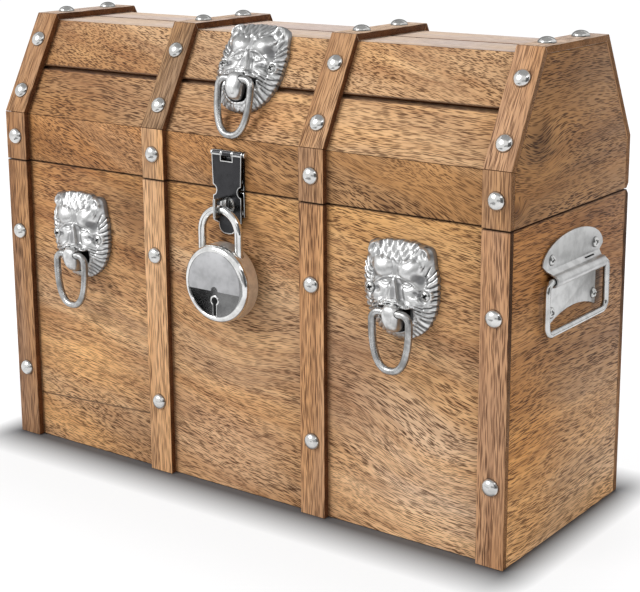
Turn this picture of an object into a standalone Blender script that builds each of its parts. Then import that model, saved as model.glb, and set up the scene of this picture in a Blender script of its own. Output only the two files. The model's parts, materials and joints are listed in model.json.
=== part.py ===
"""Wooden treasure chest with a five-sided lid, hasp, padlock, lion knockers and end handles.

Units are metres. +X runs along the front, +Y to the back and +Z up. The origin is on the floor under
the middle of the body, and the front faces -Y.
"""
import math

import bmesh
import bpy
from mathutils import Vector

# Whole chest, measured over the wooden strips
OVERALL_WIDTH = 0.460
OVERALL_DEPTH = 0.172
OVERALL_HEIGHT = 0.345
LID_LINE = 0.231
LID_WALL_HEIGHT = 0.039
LID_TOP_DEPTH = 0.091

# Timber
PANEL_THICKNESS = 0.010
BOTTOM_THICKNESS = 0.008
RAIL_THICKNESS = 0.010
SLAT_THICKNESS = 0.008
SLAT_GAP = 0.003
SLAT_LAP = 0.006
STRIP_COUNT = 4
STRIP_WIDTH = 0.021
STRIP_THICKNESS = 0.005

# Fits
SEAM = 0.0003
LID_GAP = 0.0008
RUNNING_GAP = 0.0004

# Dome nails that hold the strips
NAIL_DIAMETER = 0.0128
NAIL_HEIGHT = 0.0042
NAIL_SINK = 0.0003
BODY_NAIL_RISE = 0.057
BODY_NAIL_DROP = 0.058
LID_WALL_NAIL_RISE = 0.0195
SLOPE_NAIL_RISE = 0.0185
SLOPE_NAIL_DROP = 0.0225
TOP_NAIL_OFFSET = 0.024

# Rear hinges
HINGE_FROM_END = 0.084
HINGE_LENGTH = 0.042
HINGE_LEAF_HEIGHT = 0.020
HINGE_SHEET = 0.0014
HINGE_KNUCKLE_RADIUS = 0.0026
HINGE_PIN_RADIUS = 0.0012
LID_OPENING = math.radians(98)
LID_STOP_MARGIN = math.radians(4)

# Hasp on the middle of the front
HASP_X = -0.0015
HASP_ABOVE_LID = 0.027
HASP_SHEET = 0.0015
HASP_PLATE_WIDTH = 0.026
HASP_KNUCKLE_RADIUS = 0.0026
HASP_PIN_RADIUS = 0.0012
HASP_PIN_HEAD_RADIUS = 0.0019
HASP_PIN_HEAD_LENGTH = 0.0012
HASP_TOP_WIDTH = 0.028
HASP_LOWER_WIDTH = 0.0258
HASP_WINDOW_WIDTH = 0.0104
HASP_WINDOW_HEIGHT = 0.005
HASP_NOTCH_RADIUS = 0.0040
HASP_NOTCH_DEPTH = 0.0033
HASP_TONGUE_WIDTH = 0.0157
HASP_TONGUE_RADIUS = 0.0062
HASP_SHOULDER_DROP = 0.0225
HASP_TONGUE_DROP = 0.0315
STAPLE_PLATE_HEIGHT = 0.0185
STAPLE_RIVET_RADIUS = 0.0032

# Eye that stands through the strap
EYE_SHEET = 0.0020
EYE_REACH = 0.0201
EYE_DROP = 0.0033
EYE_LENGTH = 0.0140
EYE_RIM = 0.0024
EYE_BASE_RADIUS = 0.0058

# Padlock
PADLOCK_X = -0.0010
PADLOCK_RADIUS = 0.029
PADLOCK_THICKNESS = 0.017
PADLOCK_EDGE_RADIUS = 0.0022
PADLOCK_RIM_WIDTH = 0.0026
PADLOCK_FACE_DEPTH = 0.0012
SHACKLE_RADIUS = 0.0030
SHACKLE_HALF_SPAN = 0.0169
SHACKLE_LENGTH = 0.0541
SHACKLE_LONG_LEG = 0.016
SHACKLE_SHORT_LEG = 0.009
SHACKLE_BORE_END = 0.0015
KEYHOLE_DROP = 0.012
KEYHOLE_RADIUS = 0.0026
KEYHOLE_SLOT_LENGTH = 0.0085
KEYHOLE_SLOT_WIDTH = 0.0022
KEYHOLE_DEPTH = 0.005

# Lion masks and their rings
LEFT_LION_FROM_END = 0.0778
LEFT_LION_BELOW_LID = 0.0527
RIGHT_LION_FROM_END = 0.083
RIGHT_LION_BELOW_LID = 0.050
LION_BELOW_SLOPE_TOP = 0.0277
LION_HALF_WIDTH = 0.0295
LION_HALF_HEIGHT = 0.0342
LION_RIM = 0.0034
LION_DOME = 0.0080
LION_MOUTH = -0.0135
LION_LIP = -0.0100
LION_MOUTH_FLOOR = 0.0090
LION_TONGUE_HALF_WIDTH = 0.0068
LION_TONGUE_HALF_LENGTH = 0.0118
LION_TONGUE_DROP = 0.0060
LION_TONGUE_DEPTH = 0.0068
LION_SPOKES = 52
LION_RINGS = 13
LION_MANE_LOCKS = 13
LION_MANE_RELIEF = 0.0009
RING_STANDOFF = 0.0165
RING_WIRE_RADIUS = 0.0027
RING_HALF_WIDTH = 0.0148
RING_LENGTH = 0.0405
RING_CORNER = 0.006
RING_BOW_POWER = 2.5

# End handles
HANDLE_BELOW_LID = 0.042
HANDLE_SHEET = 0.0015
HANDLE_EAR_HALF_WIDTH = 0.044
HANDLE_EAR_RISE = 0.011
HANDLE_ARCH_RISE = 0.0287
HANDLE_NECK_HALF_WIDTH = 0.036
HANDLE_FOOT_HALF_WIDTH = 0.034
HANDLE_FOOT_DROP = 0.031
HANDLE_ARC_RISE = 0.0065
HANDLE_STANDOFF = 0.0022
HANDLE_FLARE = 0.0028
BAIL_WIRE_RADIUS = 0.0024
BAIL_HALF_WIDTH = 0.0436
BAIL_DROP = 0.0359
BAIL_CORNER = 0.0065

# Roundness
WIRE_RESOLUTION = 2
TURN_STEPS = 16
LOCK_STEPS = 36
ARC_STEPS = 8

# Placing of flat outlines: facing the front, or standing across the chest
FACE_ON = (math.pi / 2, 0.0, 0.0)
SIDE_ON = (math.pi / 2, 0.0, math.pi / 2)

# Colour, roughness and metallic value of each finish
FINISHES = {
    "panel_wood": ((0.48, 0.27, 0.12), 0.50, 0.0),
    "lid_wood": ((0.42, 0.23, 0.11), 0.50, 0.0),
    "strip_wood": ((0.36, 0.19, 0.10), 0.50, 0.0),
    "cast_metal": ((0.66, 0.66, 0.65), 0.36, 1.0),
    "ring_metal": ((0.50, 0.50, 0.49), 0.38, 1.0),
    "chrome": ((0.72, 0.72, 0.71), 0.18, 1.0),
    "zinc": ((0.68, 0.68, 0.67), 0.34, 1.0),
    "gunmetal": ((0.12, 0.12, 0.125), 0.30, 1.0),
    "hinge_steel": ((0.45, 0.44, 0.42), 0.38, 1.0),
}

# Faces that other pieces are set against
BOARD_OFFSET = STRIP_THICKNESS + SEAM
BOARD_FACE = OVERALL_DEPTH / 2 - BOARD_OFFSET
LID_FOOT = LID_LINE + LID_GAP
INNER_HALF_WIDTH = OVERALL_WIDTH / 2 - PANEL_THICKNESS - SEAM
HASP_AXIS_HEIGHT = LID_LINE + HASP_ABOVE_LID
HASP_SHOULDER_HEIGHT = LID_LINE - HASP_SHOULDER_DROP
HASP_TONGUE_BOTTOM = LID_LINE - HASP_TONGUE_DROP
EYE_TOP = LID_LINE - EYE_DROP
BAIL_OUT = SEAM + BAIL_WIRE_RADIUS + RUNNING_GAP + HANDLE_STANDOFF
EYE_BOTTOM = EYE_TOP - EYE_LENGTH


def clear_scene():
    for obj in list(bpy.data.objects):
        bpy.data.objects.remove(obj, do_unlink=True)


def new_collection(name):
    collection = bpy.data.collections.new(name)
    bpy.context.scene.collection.children.link(collection)
    return collection


clear_scene()
PARTS = new_collection("treasure_chest")
CUTTERS = new_collection("treasure_chest_cutters")


def new_material(name, finish):
    colour, roughness, metallic = FINISHES[finish]
    material = bpy.data.materials.new(name)
    material.use_nodes = True
    shader = material.node_tree.nodes["Principled BSDF"]
    shader.inputs["Base Color"].default_value = (*colour, 1.0)
    shader.inputs["Roughness"].default_value = roughness
    shader.inputs["Metallic"].default_value = metallic
    material.diffuse_color = (*colour, 1.0)
    return material


def new_carrier(name, position, carrier=None):
    """An empty on a joint's axis, which carries the pieces that turn or slide there."""
    empty = bpy.data.objects.new(name, None)
    empty["place"] = tuple(position)
    PARTS.objects.link(empty)
    set_place(empty, position, (0.0, 0.0, 0.0), carrier)
    return empty


def set_place(obj, place, turn, carrier):
    obj.parent = carrier
    origin = Vector(carrier["place"]) if carrier else Vector()
    obj.location = Vector(place) - origin
    obj.rotation_euler = turn


def add_part(name, data, finish, place=(0.0, 0.0, 0.0), turn=(0.0, 0.0, 0.0), carrier=None):
    data.materials.clear()
    data.materials.append(new_material(name, finish))
    part = bpy.data.objects.new(name, data)
    PARTS.objects.link(part)
    set_place(part, place, turn, carrier)
    return part


def combine(part, name, mesh, operation, place=(0.0, 0.0, 0.0), turn=(0.0, 0.0, 0.0), carrier=None):
    """Join a mesh to a part or cut it out of it, with a live Boolean."""
    cutter = bpy.data.objects.new(name, mesh)
    CUTTERS.objects.link(cutter)
    set_place(cutter, place, turn, carrier)
    cutter.hide_render = True
    cutter.display_type = "WIRE"
    boolean = part.modifiers.new(name, "BOOLEAN")
    boolean.object = cutter
    boolean.operation = operation
    boolean.solver = "EXACT"
    return cutter


def finish_mesh(name, build):
    mesh = bpy.data.meshes.new(name)
    bmesh.ops.recalc_face_normals(build, faces=build.faces)
    build.to_mesh(mesh)
    build.free()
    return mesh


def box_mesh(name, size):
    build = bmesh.new()
    bmesh.ops.create_cube(build, size=1.0)
    bmesh.ops.scale(build, vec=size, verts=build.verts)
    return finish_mesh(name, build)


def rod_mesh(name, radius, length, steps=TURN_STEPS):
    """A round rod along its own Z."""
    build = bmesh.new()
    bmesh.ops.create_cone(
        build, cap_ends=True, segments=steps, radius1=radius, radius2=radius, depth=length)
    return finish_mesh(name, build)


def ball_mesh(name, radii, around, rows):
    build = bmesh.new()
    bmesh.ops.create_uvsphere(build, u_segments=around, v_segments=rows, radius=1.0)
    bmesh.ops.scale(build, vec=radii, verts=build.verts)
    return finish_mesh(name, build)


def join_meshes(name, placed):
    """Separate closed shapes as one cutter mesh; placed holds (mesh, offset) pairs."""
    build = bmesh.new()
    for mesh, offset in placed:
        before = len(build.verts)
        build.from_mesh(mesh)
        build.verts.ensure_lookup_table()
        bmesh.ops.translate(build, vec=offset, verts=build.verts[before:])
    return finish_mesh(name, build)


def plate_mesh(name, outlines, thickness):
    """A flat outline, with any holes as further outlines, centred on its own XY plane."""
    curve = bpy.data.curves.new(name, "CURVE")
    curve.dimensions = "2D"
    curve.fill_mode = "BOTH"
    curve.extrude = thickness / 2
    for outline in outlines:
        spline = curve.splines.new("POLY")
        spline.points.add(len(outline) - 1)
        for point, (u, v) in zip(spline.points, outline):
            point.co = (u, v, 0.0, 1.0)
        spline.use_cyclic_u = True
    holder = bpy.data.objects.new(name, curve)
    CUTTERS.objects.link(holder)
    evaluated = holder.evaluated_get(bpy.context.evaluated_depsgraph_get())
    mesh = bpy.data.meshes.new_from_object(evaluated)
    bpy.data.objects.remove(holder, do_unlink=True)
    build = bmesh.new()
    build.from_mesh(mesh)
    bmesh.ops.remove_doubles(build, verts=build.verts, dist=1e-6)
    return finish_mesh(name, build)


def wire_curve(name, points, radius, closed):
    curve = bpy.data.curves.new(name, "CURVE")
    curve.dimensions = "3D"
    curve.bevel_depth = radius
    curve.bevel_resolution = WIRE_RESOLUTION
    curve.use_fill_caps = not closed
    spline = curve.splines.new("POLY")
    spline.points.add(len(points) - 1)
    for point, (u, v) in zip(spline.points, points):
        point.co = (u, v, 0.0, 1.0)
    spline.use_cyclic_u = closed
    return curve


def turned_part(name, profile, steps, finish, place, turn, carrier):
    """A profile of (radius, height) points from top to bottom, turned about its own Z."""
    mesh = bpy.data.meshes.new(name)
    points = [(radius, 0.0, height) for radius, height in profile]
    edges = [(i, i + 1) for i in range(len(points) - 1)]
    mesh.from_pydata(points, edges, [])
    part = add_part(name, mesh, finish, place, turn, carrier)
    screw = part.modifiers.new("turn", "SCREW")
    screw.steps = steps
    screw.render_steps = steps
    screw.use_merge_vertices = True
    screw.merge_threshold = 0.00001
    return part


def arc(centre, radius, start, end, steps=ARC_STEPS):
    """Points of an arc, both ends included; angles in degrees."""
    angles = [math.radians(start + (end - start) * i / steps) for i in range(steps + 1)]
    return [(centre[0] + radius * math.cos(a), centre[1] + radius * math.sin(a)) for a in angles]


def rectangle(left, right, low, high):
    return [(left, low), (right, low), (right, high), (left, high)]


# The lid's hoop: five straight runs from the front lid line over the top to the back lid line


def hoop_corners(inset):
    """Corners (y, z) of the lid's section, moved in from the strips' outer faces."""
    run = (OVERALL_DEPTH - LID_TOP_DEPTH) / 2
    rise = OVERALL_HEIGHT - LID_LINE - LID_WALL_HEIGHT
    length = math.hypot(run, rise)
    along = (run / length, rise / length)
    inward = (along[1], -along[0])
    half = OVERALL_DEPTH / 2
    to_bend = inset * (1 - inward[0]) / along[0]
    bend = LID_LINE + LID_WALL_HEIGHT + inset * inward[1] + to_bend * along[1]
    to_top = -inset * (1 + inward[1]) / along[1]
    shoulder = -LID_TOP_DEPTH / 2 + inset * inward[0] + to_top * along[0]
    front = [(inset - half, LID_LINE), (inset - half, bend), (shoulder, OVERALL_HEIGHT - inset)]
    return front + [(-y, z) for y, z in reversed(front)]


def hoop_frame(run):
    """Start, direction and inward normal of one run of the hoop, on the strips' outer faces."""
    corners = [Vector(corner) for corner in hoop_corners(0.0)]
    start = corners[run]
    along = (corners[run + 1] - start).normalized()
    return start, along, Vector((along.y, -along.x))


def hoop_limits(run, inset):
    """Where a run begins and ends at this inset, on the mitres that it shares with its neighbours."""
    start, along, inward = hoop_frame(run)
    corners = [Vector(corner) for corner in hoop_corners(inset)]
    low = (corners[run] - start).dot(along)
    high = (corners[run + 1] - start).dot(along)
    low += LID_GAP if run == 0 else SEAM / 2
    high -= LID_GAP if run == 4 else SEAM / 2
    return low, high


def hoop_point(run, along_run, inset):
    start, along, inward = hoop_frame(run)
    point = start + along * along_run + inward * inset
    return point.x, point.y


def hoop_outline(run, outer, inner):
    first, last = hoop_limits(run, outer)
    inner_first, inner_last = hoop_limits(run, inner)
    corners = [(first, outer), (last, outer), (inner_last, inner), (inner_first, inner)]
    return [hoop_point(run, s, inset) for s, inset in corners]


def lapped_outlines(run):
    """The two slats of a run: the first has a lip, and the second lies over it with a gap."""
    outer = BOARD_OFFSET
    inner = outer + SLAT_THICKNESS
    lip = outer + SLAT_THICKNESS / 2
    first, last = hoop_limits(run, outer)
    inner_first, inner_last = hoop_limits(run, inner)
    edge = (first + last) / 2 - SLAT_GAP / 2
    cover = edge + SLAT_GAP
    lap = cover + SLAT_LAP
    lower = [(first, outer), (edge, outer), (edge, lip), (lap, lip), (lap, inner), (inner_first, inner)]
    upper = [(cover, outer), (last, outer), (inner_last, inner), (lap + SEAM, inner),
             (lap + SEAM, lip - SEAM), (cover, lip - SEAM)]
    return [[hoop_point(run, s, inset) for s, inset in outline] for outline in (lower, upper)]


def strip_places():
    pitch = (OVERALL_WIDTH - STRIP_WIDTH) / (STRIP_COUNT - 1)
    return [-(OVERALL_WIDTH - STRIP_WIDTH) / 2 + pitch * i for i in range(STRIP_COUNT)]


# The lid turns on the rear hinges' pins, just outside the back boards
HINGE_AXIS = Vector((0.0, BOARD_FACE + SEAM + HINGE_KNUCKLE_RADIUS, LID_LINE + LID_GAP / 2))
LID = new_carrier("lid_axis", HINGE_AXIS)


def stop_cut(side):
    """Bevel (y, z) at a back strip's end on the lid line; side is -1 on the body and 1 on the lid."""
    reach = OVERALL_DEPTH / 2 - HINGE_AXIS.y
    start = HINGE_AXIS.y - STRIP_THICKNESS / 10
    edge = LID_LINE if side < 0 else LID_FOOT
    drop = math.tan((LID_OPENING + LID_STOP_MARGIN) / 2) * (reach + STRIP_THICKNESS / 10)
    return (start, edge), (OVERALL_DEPTH / 2, edge + side * drop)


def nail_mesh(name):
    radius = NAIL_DIAMETER / 2
    return ball_mesh(name, (radius, radius, NAIL_HEIGHT + NAIL_SINK), 10, 4)


def add_nails(strip, spots, carrier):
    """Dome heads on a strip; spots are (x, y, z, turn about X) of points just under its outer face."""
    for number, (x, y, z, turn) in enumerate(spots, 1):
        name = f"{strip.name}_nail_{number}"
        combine(strip, name, nail_mesh(name), "UNION", (x, y, z), (turn, 0.0, 0.0), carrier)


def hoop_nail(x, run, along_run):
    """Place and turn of a nail on a run of the hoop: its dome points outwards."""
    y, z = hoop_point(run, along_run, NAIL_SINK)
    start, along, inward = hoop_frame(run)
    return x, y, z, math.atan2(inward.x, -inward.y)


def add_body():
    half = BOARD_FACE
    height = LID_LINE
    for name, side in (("front_panel", -1), ("back_panel", 1)):
        size = (2 * INNER_HALF_WIDTH, PANEL_THICKNESS, height)
        place = (0.0, side * (half - PANEL_THICKNESS / 2), height / 2)
        add_part(name, box_mesh(name, size), "panel_wood", place)
    for name, side in (("left_end_panel", -1), ("right_end_panel", 1)):
        size = (PANEL_THICKNESS, 2 * half, height)
        place = (side * (OVERALL_WIDTH - PANEL_THICKNESS) / 2, 0.0, height / 2)
        add_part(name, box_mesh(name, size), "panel_wood", place)
    inside = 2 * (half - PANEL_THICKNESS - SEAM)
    size = (2 * INNER_HALF_WIDTH, inside, BOTTOM_THICKNESS)
    place = (0.0, 0.0, BOTTOM_THICKNESS / 2)
    add_part("bottom_panel", box_mesh("bottom_panel", size), "panel_wood", place)


def add_body_strips():
    outer = OVERALL_DEPTH / 2
    inner = outer - STRIP_THICKNESS
    bevel_start, bevel_end = stop_cut(-1)
    back = [(inner, 0.0), (outer, 0.0), bevel_end, bevel_start, (inner, LID_LINE)]
    front = rectangle(-outer, -inner, 0.0, LID_LINE)
    nails = (BODY_NAIL_RISE, LID_LINE - BODY_NAIL_DROP)
    for number, x in enumerate(strip_places(), 1):
        for side, outline, turn in ((-1, front, math.pi / 2), (1, back, -math.pi / 2)):
            name = f"{'front' if side < 0 else 'back'}_strip_{number}"
            strip = add_part(name, plate_mesh(name, [outline], STRIP_WIDTH), "strip_wood",
                             (x, 0.0, 0.0), SIDE_ON)
            add_nails(strip, [(x, side * (outer - NAIL_SINK), z, turn) for z in nails], None)


def add_lid_boards():
    inner = BOARD_OFFSET + RAIL_THICKNESS
    length = 2 * INNER_HALF_WIDTH
    for name, run in (("lid_front_rail", 0), ("lid_back_rail", 4)):
        mesh = plate_mesh(name, [hoop_outline(run, BOARD_OFFSET, inner)], length)
        add_part(name, mesh, "lid_wood", turn=SIDE_ON, carrier=LID)
    names = {1: ("lid_front_lower_slat", "lid_front_upper_slat"),
             2: ("lid_top_front_slat", "lid_top_back_slat"),
             3: ("lid_back_upper_slat", "lid_back_lower_slat")}
    for run, pair in names.items():
        for name, outline in zip(pair, lapped_outlines(run)):
            add_part(name, plate_mesh(name, [outline], length), "lid_wood", turn=SIDE_ON, carrier=LID)
    outline = hoop_corners(BOARD_OFFSET)
    outline[0] = (outline[0][0], LID_FOOT)
    outline[-1] = (outline[-1][0], LID_FOOT)
    for name, side in (("lid_left_end", -1), ("lid_right_end", 1)):
        place = (side * (OVERALL_WIDTH - PANEL_THICKNESS) / 2, 0.0, 0.0)
        add_part(name, plate_mesh(name, [outline], PANEL_THICKNESS), "lid_wood", place, SIDE_ON, LID)


def add_lid_strips():
    """Each strip over the lid: three mitred lengths, and a bent length down the back."""
    slope_length = hoop_limits(1, 0.0)[1]
    top_length = hoop_limits(2, 0.0)[1]
    wall = hoop_limits(4, 0.0)
    slope_nails = (SLOPE_NAIL_RISE, slope_length - SLOPE_NAIL_DROP)
    top_nails = (top_length / 2 - TOP_NAIL_OFFSET, top_length / 2 + TOP_NAIL_OFFSET)
    spots = {"lid_front_strip": [(0, LID_WALL_NAIL_RISE)],
             "lid_front_slope_strip": [(1, s) for s in slope_nails],
             "lid_top_strip": [(2, s) for s in top_nails],
             "lid_back_strip": [(3, slope_length - s) for s in reversed(slope_nails)]
             + [(4, wall[1] - LID_WALL_NAIL_RISE + LID_GAP)]}
    outlines = {name: hoop_outline(run, 0.0, STRIP_THICKNESS)
                for name, run in (("lid_front_strip", 0), ("lid_front_slope_strip", 1), ("lid_top_strip", 2))}
    slope = hoop_outline(3, 0.0, STRIP_THICKNESS)
    bevel_start, bevel_end = stop_cut(1)
    bend, inner_bend = hoop_corners(0.0)[4], hoop_corners(STRIP_THICKNESS)[4]
    inner_foot = (OVERALL_DEPTH / 2 - STRIP_THICKNESS, LID_FOOT)
    outlines["lid_back_strip"] = [slope[0], bend, bevel_end, bevel_start, inner_foot, inner_bend, slope[3]]
    for number, x in enumerate(strip_places(), 1):
        for kind, outline in outlines.items():
            name = f"{kind}_{number}"
            strip = add_part(name, plate_mesh(name, [outline], STRIP_WIDTH), "strip_wood",
                             (x, 0.0, 0.0), SIDE_ON, LID)
            add_nails(strip, [hoop_nail(x, run, s) for run, s in spots[kind]], LID)


def add_rear_hinge(side):
    """A butt hinge on the outside: the body's leaf has the outer knuckles and the pin."""
    x = side * (OVERALL_WIDTH / 2 - HINGE_FROM_END)
    label = "left" if side < 0 else "right"
    third = HINGE_LENGTH / 3
    half = HINGE_LENGTH / 2
    clear = HINGE_KNUCKLE_RADIUS + RUNNING_GAP
    sheet_y = BOARD_FACE + SEAM + HINGE_SHEET / 2
    place = (x, sheet_y, HINGE_AXIS.z)
    on_axis = (x, HINGE_AXIS.y, HINGE_AXIS.z)
    along = (0.0, math.pi / 2, 0.0)

    tab = third / 2 + RUNNING_GAP
    inset = half - SEAM
    root = HINGE_KNUCKLE_RADIUS / 5
    notch = tab + SEAM
    outline = [(-inset, -HINGE_LEAF_HEIGHT), (inset, -HINGE_LEAF_HEIGHT), (inset, -root), (notch, -root),
               (notch, -clear), (-notch, -clear), (-notch, -root), (-inset, -root)]
    name = f"{label}_hinge_body_leaf"
    leaf = add_part(name, plate_mesh(name, [outline], HINGE_SHEET), "hinge_steel", place, FACE_ON)
    knuckle_length = half - tab
    knuckle = rod_mesh(f"{name}_knuckle", HINGE_KNUCKLE_RADIUS, knuckle_length)
    shift = (half + tab) / 2
    pair = join_meshes(f"{name}_knuckles", [(knuckle, (0.0, 0.0, -shift)), (knuckle, (0.0, 0.0, shift))])
    combine(leaf, f"{name}_knuckles", pair, "UNION", on_axis, along)
    pin = rod_mesh(f"{name}_pin", HINGE_PIN_RADIUS, HINGE_LENGTH - knuckle_length)
    combine(leaf, f"{name}_pin", pin, "UNION", on_axis, along)

    tab = third / 2 - RUNNING_GAP / 2
    neck = tab - SEAM
    fillet = clear + SEAM
    outline = [(-neck, root), (neck, root), (neck, fillet), (inset, clear), (inset, HINGE_LEAF_HEIGHT),
               (-inset, HINGE_LEAF_HEIGHT), (-inset, clear), (-neck, fillet)]
    name = f"{label}_hinge_lid_leaf"
    leaf = add_part(name, plate_mesh(name, [outline], HINGE_SHEET), "hinge_steel", place, FACE_ON, LID)
    knuckle = rod_mesh(f"{name}_knuckle", HINGE_KNUCKLE_RADIUS, 2 * tab)
    combine(leaf, f"{name}_knuckle", knuckle, "UNION", on_axis, along, LID)
    bore = rod_mesh(f"{name}_bore", HINGE_PIN_RADIUS + RUNNING_GAP, HINGE_LENGTH)
    combine(leaf, f"{name}_bore", bore, "DIFFERENCE", on_axis, along, LID)


# The hasp: a leaf on the lid carries the strap, which folds down over the plate on the body
HASP_AXIS = Vector((HASP_X, -BOARD_FACE - SEAM - HASP_KNUCKLE_RADIUS, HASP_AXIS_HEIGHT))
HASP = new_carrier("hasp_axis", HASP_AXIS, LID)
HASP_PLATE_Y = -BOARD_FACE - SEAM - HASP_SHEET / 2
STRAP_FRONT = HASP_AXIS.y - HASP_KNUCKLE_RADIUS
STRAP_Y = STRAP_FRONT + HASP_SHEET / 2
EYE_HEIGHT = (EYE_BOTTOM + EYE_TOP) / 2
EYE_BASE_BACK = HASP_PLATE_Y - HASP_SHEET / 2 - HASP_SHEET
EYE_TIP = -BOARD_FACE - EYE_REACH


def strap_outline():
    """The strap (x, z) from its knuckles down to the finger tongue, waisted on the lid line."""
    top = HASP_TOP_WIDTH / 2
    low = HASP_LOWER_WIDTH / 2
    tongue = HASP_TONGUE_WIDTH / 2
    notch_x = low + HASP_NOTCH_RADIUS - HASP_NOTCH_DEPTH
    reach = math.degrees(math.acos((notch_x - low) / HASP_NOTCH_RADIUS))
    drop = HASP_SHOULDER_HEIGHT - HASP_TONGUE_BOTTOM - HASP_TONGUE_RADIUS
    right = [(top - SEAM, HASP_AXIS_HEIGHT - HASP_KNUCKLE_RADIUS / 5)]
    right += arc((notch_x, LID_LINE), HASP_NOTCH_RADIUS, 180 - reach, 180 + reach)
    right.append((low, HASP_SHOULDER_HEIGHT))
    right.append((tongue, HASP_SHOULDER_HEIGHT - drop / 2))
    right += arc((tongue - HASP_TONGUE_RADIUS, HASP_TONGUE_BOTTOM + HASP_TONGUE_RADIUS),
                 HASP_TONGUE_RADIUS, 0, -90)
    return right + [(-x, z) for x, z in reversed(right)]


def add_hasp():
    half = HASP_PLATE_WIDTH / 2
    clear = HASP_KNUCKLE_RADIUS + RUNNING_GAP
    tab = HASP_WINDOW_WIDTH / 2 - RUNNING_GAP
    along = (0.0, math.pi / 2, 0.0)

    foot = LID_FOOT + SEAM
    shelf = HASP_AXIS_HEIGHT - clear
    root = HASP_AXIS_HEIGHT - HASP_KNUCKLE_RADIUS / 5
    neck = tab - SEAM
    fillet = shelf - SEAM
    outline = [(-half, foot), (half, foot), (half, shelf), (neck, fillet), (neck, root), (-neck, root),
               (-neck, fillet), (-half, shelf)]
    leaf = add_part("hasp_leaf", plate_mesh("hasp_leaf", [outline], HASP_SHEET), "gunmetal",
                    (HASP_X, HASP_PLATE_Y, 0.0), FACE_ON, LID)
    knuckle = rod_mesh("hasp_leaf_knuckle", HASP_KNUCKLE_RADIUS, 2 * tab)
    combine(leaf, "hasp_leaf_knuckle", knuckle, "UNION", HASP_AXIS, along, LID)
    bore = rod_mesh("hasp_leaf_bore", HASP_PIN_RADIUS + RUNNING_GAP, HASP_PLATE_WIDTH)
    combine(leaf, "hasp_leaf_bore", bore, "DIFFERENCE", HASP_AXIS, along, LID)

    shaft = HASP_TOP_WIDTH / 2 + SEAM
    end = shaft + HASP_PIN_HEAD_LENGTH
    profile = [(0.0, end), (HASP_PIN_HEAD_RADIUS, end), (HASP_PIN_HEAD_RADIUS, shaft), (HASP_PIN_RADIUS, shaft)]
    profile += [(radius, -height) for radius, height in reversed(profile)]
    turned_part("hasp_pin", profile, TURN_STEPS, "gunmetal", HASP_AXIS, along, LID)

    slot = EYE_BASE_RADIUS + SEAM
    opening = arc((0.0, EYE_HEIGHT), slot, 0, 360 - 360 / (2 * ARC_STEPS), 2 * ARC_STEPS - 1)
    strap = add_part("hasp_strap", plate_mesh("hasp_strap", [strap_outline(), opening], HASP_SHEET),
                     "gunmetal", (HASP_X, STRAP_Y, 0.0), FACE_ON, HASP)
    knuckle = rod_mesh("hasp_strap_knuckle", HASP_KNUCKLE_RADIUS, HASP_TOP_WIDTH)
    combine(strap, "hasp_strap_knuckle", knuckle, "UNION", HASP_AXIS, along, HASP)
    window_low = HASP_AXIS_HEIGHT - HASP_WINDOW_HEIGHT
    window = (HASP_WINDOW_WIDTH, 4 * HASP_KNUCKLE_RADIUS, HASP_WINDOW_HEIGHT + 2 * HASP_KNUCKLE_RADIUS)
    middle = Vector((HASP_X, HASP_AXIS.y, window_low + window[2] / 2))
    combine(strap, "hasp_strap_window", box_mesh("hasp_strap_window", window), "DIFFERENCE", middle,
            carrier=HASP)
    bore = rod_mesh("hasp_strap_bore", HASP_PIN_RADIUS + RUNNING_GAP, 2 * HASP_TOP_WIDTH)
    combine(strap, "hasp_strap_bore", bore, "DIFFERENCE", HASP_AXIS, along, HASP)

    top = LID_LINE - SEAM
    outline = rectangle(-half, half, top - STAPLE_PLATE_HEIGHT, top)
    staple = add_part("staple_plate", plate_mesh("staple_plate", [outline], HASP_SHEET), "gunmetal",
                      (HASP_X, HASP_PLATE_Y, 0.0), FACE_ON)
    rivet_length = HASP_PLATE_Y - EYE_BASE_BACK - SEAM
    rivet = rod_mesh("staple_rivet", STAPLE_RIVET_RADIUS, rivet_length)
    combine(staple, "staple_rivet", rivet, "UNION", (HASP_X, HASP_PLATE_Y - rivet_length / 2, EYE_HEIGHT), FACE_ON)


def add_hasp_eye():
    """A flat eye on a round base, standing out through the strap's opening."""
    root = STRAP_FRONT + HASP_SHEET / 2
    hole_low = SHACKLE_AXIS.z - SHACKLE_RADIUS - SEAM
    hole = rectangle(EYE_TIP + EYE_RIM, STRAP_FRONT - EYE_RIM, hole_low, EYE_TOP - EYE_RIM)
    outer = rectangle(EYE_TIP, root, EYE_BOTTOM, EYE_TOP)
    flat = HASP_SHEET / 2
    reach = math.sqrt(EYE_BASE_RADIUS ** 2 - (EYE_SHEET / 2) ** 2) - flat
    outer[1] = (root, EYE_HEIGHT - reach)
    outer[2] = (root, EYE_HEIGHT + reach)
    outer.insert(1, (STRAP_FRONT - SEAM, EYE_BOTTOM))
    outer.insert(2, (STRAP_FRONT - SEAM, EYE_HEIGHT - reach))
    outer.insert(4, (STRAP_FRONT - SEAM, EYE_HEIGHT + reach))
    outer.insert(5, (STRAP_FRONT - SEAM, EYE_TOP))
    order = [outer[0], outer[1], outer[2], outer[3], outer[6], outer[4], outer[5], outer[7]]
    eye = add_part("hasp_eye", plate_mesh("hasp_eye", [order, hole], EYE_SHEET), "zinc",
                   (HASP_X, 0.0, 0.0), SIDE_ON, HASP)
    depth = EYE_BASE_BACK - STRAP_FRONT
    base = rod_mesh("hasp_eye_base", EYE_BASE_RADIUS, depth, 2 * TURN_STEPS)
    combine(eye, "hasp_eye_base", base, "UNION", (HASP_X, STRAP_FRONT + depth / 2, EYE_HEIGHT), FACE_ON, HASP)


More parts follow.
